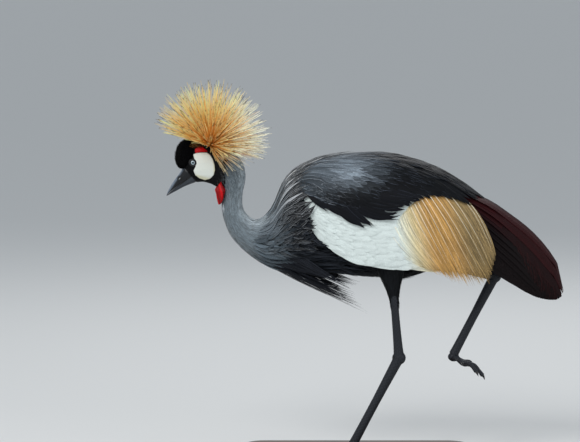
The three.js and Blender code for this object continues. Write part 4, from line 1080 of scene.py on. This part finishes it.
# Each bristle is lightened or darkened at random, and those that point low along the nape are darkened
# further: painted shade on the low bristles
light = draw.uniform(0.9, 1.35, bristle_count) * np.where(rise < -8, 0.7, 1.0)
speck = (draw.random((bristle_count, 15)) < 0.035) & (share > 0.25)
tipped = (draw.random((bristle_count, 1)) < mix(0.6, 0.2, rearward)) & (share > 0.94)
bristle_tint = np.where((speck | tipped)[..., None], paint(34, 24, 18), bristle_tint * light[:, None, None])
crest_finish = plumage("crest_bristles", 0.6, sheen=0.0, contrast=0.12, gloss=0.15)
finish(lay_spines("crest_bristles", bristle_spine, bristle_radius, bristle_tint), crest_finish, "crest",
       "crest")

# Crown tuft
# Short dark feathers with golden points that join the crown to the crest. They are rooted in the
# skin of the crown and lean forward.
tuft_count = 900
spread = scattered(tuft_count)
tuft_rise = math.pi / 2 - 1.15 * spread[:, 0]
tuft_turn = 2 * math.pi * spread[:, 1]
tuft_out = np.stack([np.cos(tuft_turn) * np.cos(tuft_rise), np.sin(tuft_turn) * np.cos(tuft_rise),
                     np.sin(tuft_rise)], axis=1)
tuft_way = unit(0.5 * tuft_out + np.array([-0.9, 0, 0.3]) + 0.18 * draw.normal(size=(tuft_count, 3)))
share = np.linspace(0, 1, 6)
reach = draw.uniform(7, 14, (tuft_count, 1)) * share
tuft_spine = (crown_place + crown_radii * tuft_out * 0.9)[:, None] + tuft_way[:, None] * reach[..., None]
gilding = 0.8 * smoothstep(share, 0.35, 1)[:, None] * draw.random((tuft_count, 1, 1))
tuft_radius = draw.uniform(0.35, 0.55, (tuft_count, 1)) * (1 - 0.6 * share)
finish(lay_spines("crown_tuft", tuft_spine, tuft_radius,
                  mix(paint(12, 10, 9), paint(214, 156, 84), gilding)),
       crest_finish, "crest")

# Velvet cap
# The forehead is a round cushion of dense black feathers as short and even as velvet pile, rooted
# in a firm core.
cap_core = grown_together("cap_core", [copy_of("crown_cap")], 0.0011, 5)
cap_anchor = np.array([-386.0, 0.0, 572.0])
cap_points = cap_anchor + (points_of(cap_core) - cap_anchor) * [1.04, 1.0, 1.02]
cap_out = normals_of(cap_core)
move_points(cap_core, cap_points - 1.6 * cap_out)
tint_piece(cap_core, paint(5, 5, 6))
velvet = plumage("velvet_cap", 0.9, sheen=0.02, contrast=0.2, gloss=0.03)
finish(cap_core, velvet, "velvet", "crown_cap")

pile_count = 15000
picked = draw.integers(0, len(cap_points), pile_count)
pile_root = cap_points[picked] - 1.9 * cap_out[picked]
pile_out = unit(cap_out[picked] + 0.16 * draw.normal(size=(pile_count, 3)))
combing = np.array([0.75, 0.0, 0.55])
lay = unit(combing - pile_out * (pile_out @ combing)[:, None])
share = np.linspace(0, 1, 4)[:, None]
reach = draw.uniform(2.5, 3.6, pile_count)[:, None, None]
pile_spine = pile_root[:, None] + reach * (pile_out[:, None] * share * (1 - 0.25 * share)
                                           + lay[:, None] * 0.55 * share ** 2)
finish(lay_vanes("cap_pile", pile_spine, pile_out[:, None], 0.26,
                 varied(paint(8, 8, 10), 0.4, 1.9, pile_count),
                 shape=lambda share: np.interp(share, [0, 1 / 3, 2 / 3, 1], [1, 1, 0.8, 0.2]), **strand),
       velvet, "velvet")

# Cheeks, brows and wattle
# Bare skin: a smooth white pad behind each eye, a scarlet strip above it, and the scarlet wattle
# that hangs in soft folds from the throat.
bare_finish = plumage("bare_skin", 0.42, sheen=0.1, grain=1500.0, contrast=0.05, gloss=0.35, bump=0.12)
red_finish = plumage("red_skin", 0.5, sheen=0.0, grain=900.0, contrast=0.2, gloss=0.2, bump=0.4)
eye_clearance = 7.9
for name in ("left", "right"):
    cheek = grown_together(f"cheek_skin_{name}", [copy_of(f"cheek_{name}")], 0.0007, 14)
    points = points_of(cheek) + 0.55 * normals_of(cheek)
    from_eye = points[:, [0, 2]] - eye_place[[0, 2]]
    distance = np.maximum(np.linalg.norm(from_eye, axis=1, keepdims=True), 1e-6)
    points[:, [0, 2]] = eye_place[[0, 2]] + from_eye * np.maximum(eye_clearance / distance, 1)
    move_points(cheek, points)
    x, z = points[:, 0:1], points[:, 2:3]
    cream = smoothstep(z + 0.25 * (x + 365), 545, 537) + smoothstep(x, -351, -347)
    tint_piece(cheek, mix(paint(212, 216, 208), paint(196, 192, 150), np.clip(0.7 * cream, 0, 1)))
    finish(cheek, bare_finish, "cheek_skin", f"cheek_{name}")

    brow = grown_together(f"brow_skin_{name}", [copy_of(f"brow_{name}")], 0.0005, 8)
    points = points_of(brow) + 0.4 * normals_of(brow)
    points[:, 2] = 588.5 + (points[:, 2] - 591) * mix(1.0, 2.2, smoothstep(points[:, 0], -364, -384))
    level = np.clip(((points - crown_place) / crown_radii)[:, [0, 2]], -1, 1)
    mound = crown_radii[1] * np.sqrt(np.clip(1 - (level ** 2).sum(axis=1), 0, 1))
    from_middle = np.abs(points[:, 1])
    points[:, 1] = np.sign(points[:, 1]) * np.maximum(from_middle, mound + 0.2 * (from_middle - 8))
    move_points(brow, points)
    tint_piece(brow, paint(180, 4, 12))
    finish(brow, red_finish, "red_skin", f"brow_{name}")

wattle = grown_together("wattle_skin", [copy_of("wattle")], 0.0006, 6)
points, out = points_of(wattle), normals_of(wattle)
points[:, 0] = -335 + (points[:, 0] + 335) * mix(1.0, 0.16, smoothstep(points[:, 2], 514, 534))
turn = np.arctan2(points[:, 1], points[:, 0] + 338)
folds = np.sin(11 * turn + 0.12 * points[:, 2]) + 0.6 * np.sin(23 * turn + 0.3 * points[:, 2])
move_points(wattle, points + out * (0.35 * folds)[:, None])
# Painted shade: the wattle is darker in the hollows of its folds and brighter on their crests
tint_piece(wattle, mix(paint(120, 1, 5), paint(186, 3, 10), smoothstep(folds, -1.2, 1.2)[:, None]))
finish(wattle, red_finish, "red_skin", "wattle")

# Bill
# Two tapering sheaths of dark horn that meet along the line of the mouth, with a nostril cut
# through the upper one. A painted highlight runs pale along the ridge of the upper jaw and faintly
# over the lower one, and painted shade darkens the nostril's pit and the line of the mouth.
bill_edges = {
    "upper": [(-409, 558), (-416, 547), (-425, 535), (-433, 522.5), (-439, 511), (-441.5, 503.5)],
    "lower": [(-386, 529.5), (-396, 526), (-409, 520.5), (-423, 513), (-434.5, 507), (-440, 503.4)],
}
mouth_course = smooth_course([
    (-395, 11, 541), (-404, 9.4, 534), (-415, 7, 526), (-427, 4.6, 517), (-436, 2.4, 509),
    (-441, 0.6, 503.2),
])
bill_share = np.linspace(-0.06, 1, 54)[:, None]
bill_turn = np.linspace(0, 2 * math.pi, 48, endpoint=False)[:, None]
horn = plumage("bill_horn", 0.36, sheen=0.0, grain=260.0, contrast=0.25, gloss=0.35, bump=0.1)
for jaw in ("upper", "lower"):
    edge_course = smooth_course([(x, 0, z) for x, z in bill_edges[jaw]])
    mouth = mouth_course(np.maximum(bill_share, 0))
    half = mouth[..., 1:2].copy()
    mouth[..., 1] = 0
    depth = edge_course(np.maximum(bill_share, 0)) - mouth
    into_head = np.minimum(bill_share, 0)[..., None] * np.array([-63.8, 0, -50.6])
    mouth = mouth + 0.25 * unit(depth) + into_head
    swell = np.maximum(np.cos(bill_turn), 0) ** 0.8
    rings = mouth + depth * swell + half * np.sin(bill_turn) * np.array([0, 1, 0])
    bill = tube_piece(f"bill_horn_{jaw}", rings)
    outwards(bill)
    if jaw == "upper":
        bpy.ops.mesh.primitive_cylinder_add(vertices=28, radius=0.85 * millimetre, depth=0.04,
                                            location=placed([-416, 0, 537]), rotation=(math.pi / 2, 0, 0))
        nostril = bpy.context.object
        bpy.ops.object.transform_apply(location=False, rotation=True, scale=True)
        nostril.scale = (3.0, 1, 1)
        nostril.rotation_euler = (0, math.radians(-48), 0)
        bpy.ops.object.transform_apply(location=True, rotation=True, scale=True)
        hole = bill.modifiers.new("nostril", "BOOLEAN")
        hole.operation = "DIFFERENCE"
        hole.object = nostril
        select_only(bill)
        bpy.ops.object.modifier_apply(modifier=hole.name)
        bpy.data.objects.remove(nostril)
    points = points_of(bill)
    # Painted highlight: a pale blue-grey sheen along the ridge of the upper jaw, and an even faint one over
    # all of the lower jaw
    ridge = smoothstep(points[:, 2:3] - (558 + (points[:, 0:1] + 409) * 1.55), -8, 1)
    if jaw == "lower":
        ridge = 0.15
    from_mouth = [np.abs(mouth[:, 0, [0, 2]] - point[[0, 2]]).sum(axis=1).min() for point in points]
    # Painted shade: the horn round the nostril is darkened to near black
    pit_shade = smoothstep(np.linalg.norm((points - [-415.5, 0, 537.5])[:, [0, 2]], axis=1), 7.0, 3.5)[:, None]
    tint = mix(mix(paint(11, 13, 17), paint(124, 136, 150), 0.8 * ridge), paint(5, 5, 6), pit_shade)
    # Painted shade: both jaws darken to near black along the line where they meet
    tint_piece(bill, mix(paint(6, 6, 8), tint, smoothstep(from_mouth, 0.6, 1.8)[:, None]))
    select_only(bill)
    bpy.ops.object.shade_smooth_by_angle(angle=math.radians(50))
    finish(bill, horn, "bill", f"bill_{jaw}")

# Eyes
# Wet round eyes with a pale blue-grey iris and a black pupil, in a rim of bare black skin.
# They look out to the sides and a little back.
eye_finish = plumage("eye", 0.06, sheen=0.0, grain=4000.0, contrast=0.1, gloss=0.7, bump=0.0)
rim_finish = plumage("eye_rim", 0.5, sheen=0.1, grain=1500.0, contrast=0.2, gloss=0.4, bump=0.3)
for name, side in (("left", -1), ("right", 1)):
    centre = eye_place * [1, side, 1]
    bpy.ops.mesh.primitive_uv_sphere_add(segments=64, ring_count=48, radius=7.5 * millimetre,
                                         location=placed(centre))
    ball = bpy.context.object
    ball.name = f"eye_ball_{name}"
    bpy.ops.object.transform_apply(location=True, rotation=True, scale=True)
    bpy.ops.object.shade_smooth()
    gaze = unit(np.array([0.1, side, 0.02]))
    aside = np.linalg.norm(np.cross(points_of(ball) - centre, gaze), axis=1)[:, None]
    tint = mix(paint(116, 140, 154), paint(168, 188, 196), smoothstep(aside, 1.9, 3.2))
    tint = mix(paint(4, 4, 5), tint, smoothstep(aside, 1.7, 1.95))
    tint_piece(ball, mix(tint, paint(7, 7, 9), smoothstep(aside, 3.5, 3.8)))
    finish(ball, eye_finish, "eye", f"eye_{name}")
    bpy.ops.mesh.primitive_torus_add(major_segments=64, minor_segments=16, major_radius=5.9 * millimetre,
                                     minor_radius=1.7 * millimetre, rotation=(math.pi / 2, 0, 0))
    rim = bpy.context.object
    rim.name = f"eye_rim_{name}"
    bpy.ops.object.transform_apply(location=True, rotation=True, scale=True)
    points = (points_of(rim) + stand_shift) * [1.06, 1, 0.9] + [0, side * 5.6, 0]
    move_points(rim, leant(points, math.radians(38)) + centre)
    tint_piece(rim, paint(9, 9, 11))
    bpy.ops.object.shade_smooth()
    finish(rim, rim_finish, "face_feathers")

# Legs
# Bare legs and toes of dark horny skin in small plates. The left foot bears the bird on the
# stand, the right one is lifted with its toes folded back.
legs = {
    "left": dict(side=-1, knee=(1, 306), ankle=(11, 190), foot=(-80, 17)),
    "right": dict(side=1, knee=(112, 361), ankle=(201, 342), foot=(121, 187)),
}
toes = ((-27, 74, 5.6), (2, 92, 6.0), (30, 70, 5.6), (172, 24, 4.2))
longest_toe = 92


def limb_rings(start, end, radii, steps):
    across = unit(np.cross([0, 1, 0], end - start))
    share = np.linspace(0, 1, steps)[:, None, None]
    turn = np.linspace(0, 2 * math.pi, 28, endpoint=False)[:, None]
    ring = across * np.cos(turn) + np.array([0, 1, 0]) * np.sin(turn)
    return start + (end - start) * share + ring * smooth_table(radii)(share)


# A toe turned out by an angle, with its length and thickness: flat on the stand, or hanging bent
def toe_knots(root, side, turn_out, toe_length, radius, order):
    if side < 0:
        turn = math.radians(180 + side * turn_out)
        ahead = np.array([math.cos(turn), math.sin(turn), 0]) * toe_length
        knots = np.array([root, root + ahead * 0.3, root + ahead * 0.62, root + ahead])
        knots[1:, 2] = radius + 3, radius, radius * 0.62
        return knots
    fan = 9 * (1 - order) * side
    reach = toe_length / longest_toe
    bend = root + np.array([20 * reach, fan, -18 * reach])
    flat = bend + np.array([20 * reach, fan * 0.8, -4 * reach])
    return [root, bend, flat, flat + np.array([18 * reach, fan * 0.5, -20 * reach])]


def toe_rings(knots, radius):
    share = np.linspace(0, 1, 40)
    centre = smooth_course(knots)(share)
    ahead = unit(np.gradient(centre, axis=0))
    across = unit(np.cross(ahead, [0, 0, 1]))
    up = np.cross(across, ahead)
    size = radius * (1 - 0.35 * share) * (1 + 0.09 * np.cos(share * math.pi * 6))
    turn = np.linspace(0, 2 * math.pi, 20, endpoint=False)[:, None]
    ring = across[:, None] * np.sin(turn) + up[:, None] * np.cos(turn)
    return centre[:, None] + ring * size[:, None, None]


leg_finish = plumage("leg_skin", 0.5, sheen=0.0, grain=500.0, contrast=0.2, gloss=0.25, bump=0.2)
claw_finish = plumage("claw_horn", 0.3, sheen=0.0, grain=300.0, contrast=0.3, gloss=0.5, bump=0.1)
for name, leg in legs.items():
    side = leg["side"]
    knee, ankle, foot = (
        np.array([x, side * hip_side, z], float) for x, z in (leg["knee"], leg["ankle"], leg["foot"]))
    knee = knee + 6 * unit(knee - ankle)
    shank = limb_rings(knee, ankle, [(0, 8.2), (0.3, 7.8), (0.75, 8.8), (1, 10.4)], 90)
    tarsus = limb_rings(ankle, foot, [(0, 10.4), (0.12, 9.8), (0.5, 8.3), (0.9, 8.7), (1, 9.4)], 140)
    toe_sets = [toe_rings(toe_knots(foot, side, *toe, order), toe[2]) for order, toe in enumerate(toes)]
    forms = [tube_piece("limb", rings) for rings in (shank, tarsus, *toe_sets)]
    forms += [add_ball(ankle, (13.4, 10.8, 13.4)), add_ball(foot - [0, 0, 5], (11.2, 10.2, 9.4))]
    whole = grown_together(f"leg_skin_{name}", forms, 0.0009, 5)
    points, out = points_of(whole), normals_of(whole)
    plates = [rings[first::5, first::4].reshape(-1, 3) for first in (0, 2) for rings in (shank, tarsus)]
    plates += [rings[::4].mean(axis=1) + [0, 0, 4] for rings in toe_sets]
    plate_tree = tree_of(np.concatenate(plates))
    nearest = np.array([[found[2] for found in plate_tree.find_n(point, 2)] for point in points])
    groove = 1 - smoothstep(nearest[:, 1:] - nearest[:, :1], 0.0, 1.1)
    points = points - out * (0.45 * groove)
    if side < 0:
        points[:, 2] = np.maximum(points[:, 2], 0.2)
    move_points(whole, points)
    # Painted shade: the skin is darker in the sunken grooves between the plates
    tint_piece(whole, mix(paint(34, 37, 43), paint(12, 13, 16), groove))
    finish(whole, leg_finish, "leg_skin", f"shank_{name}", f"tarsus_{name}", f"foot_{name}")
    for number in range(1, 5):
        wear(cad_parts[f"claw_{name}_{number}"], claw_finish)

# Stand
# A plain base sawn from one dark board, with rounded corners and a satin oil finish. The standing
# foot rests on it.
wood = new_finish("oiled_wood", Roughness=0.4)
nodes, links = wood.node_tree.nodes, wood.node_tree.links
place = nodes.new("ShaderNodeTexCoord")
stretch = set_sockets(nodes.new("ShaderNodeMapping"), Scale=(3.0, 26.0, 26.0))
grain = set_sockets(nodes.new("ShaderNodeTexNoise"), Scale=6.0, Detail=8.0, Distortion=0.6)
tones = nodes.new("ShaderNodeValToRGB")
for element, position, colour in zip(tones.color_ramp.elements, (0.3, 0.75), ((52, 36, 24), (104, 74, 48))):
    element.position = position
    element.color = (*paint(*colour), 1)
relief = set_sockets(nodes.new("ShaderNodeBump"), Strength=0.15, Distance=0.0005)
shader = nodes["Principled BSDF"]
links.new(place.outputs["Object"], stretch.inputs["Vector"])
links.new(stretch.outputs["Vector"], grain.inputs["Vector"])
links.new(grain.outputs["Fac"], tones.inputs["Fac"])
links.new(grain.outputs["Fac"], relief.inputs["Height"])
links.new(tones.outputs["Color"], shader.inputs["Base Color"])
links.new(relief.outputs["Normal"], shader.inputs["Normal"])
wear(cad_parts["stand_base"], wood)
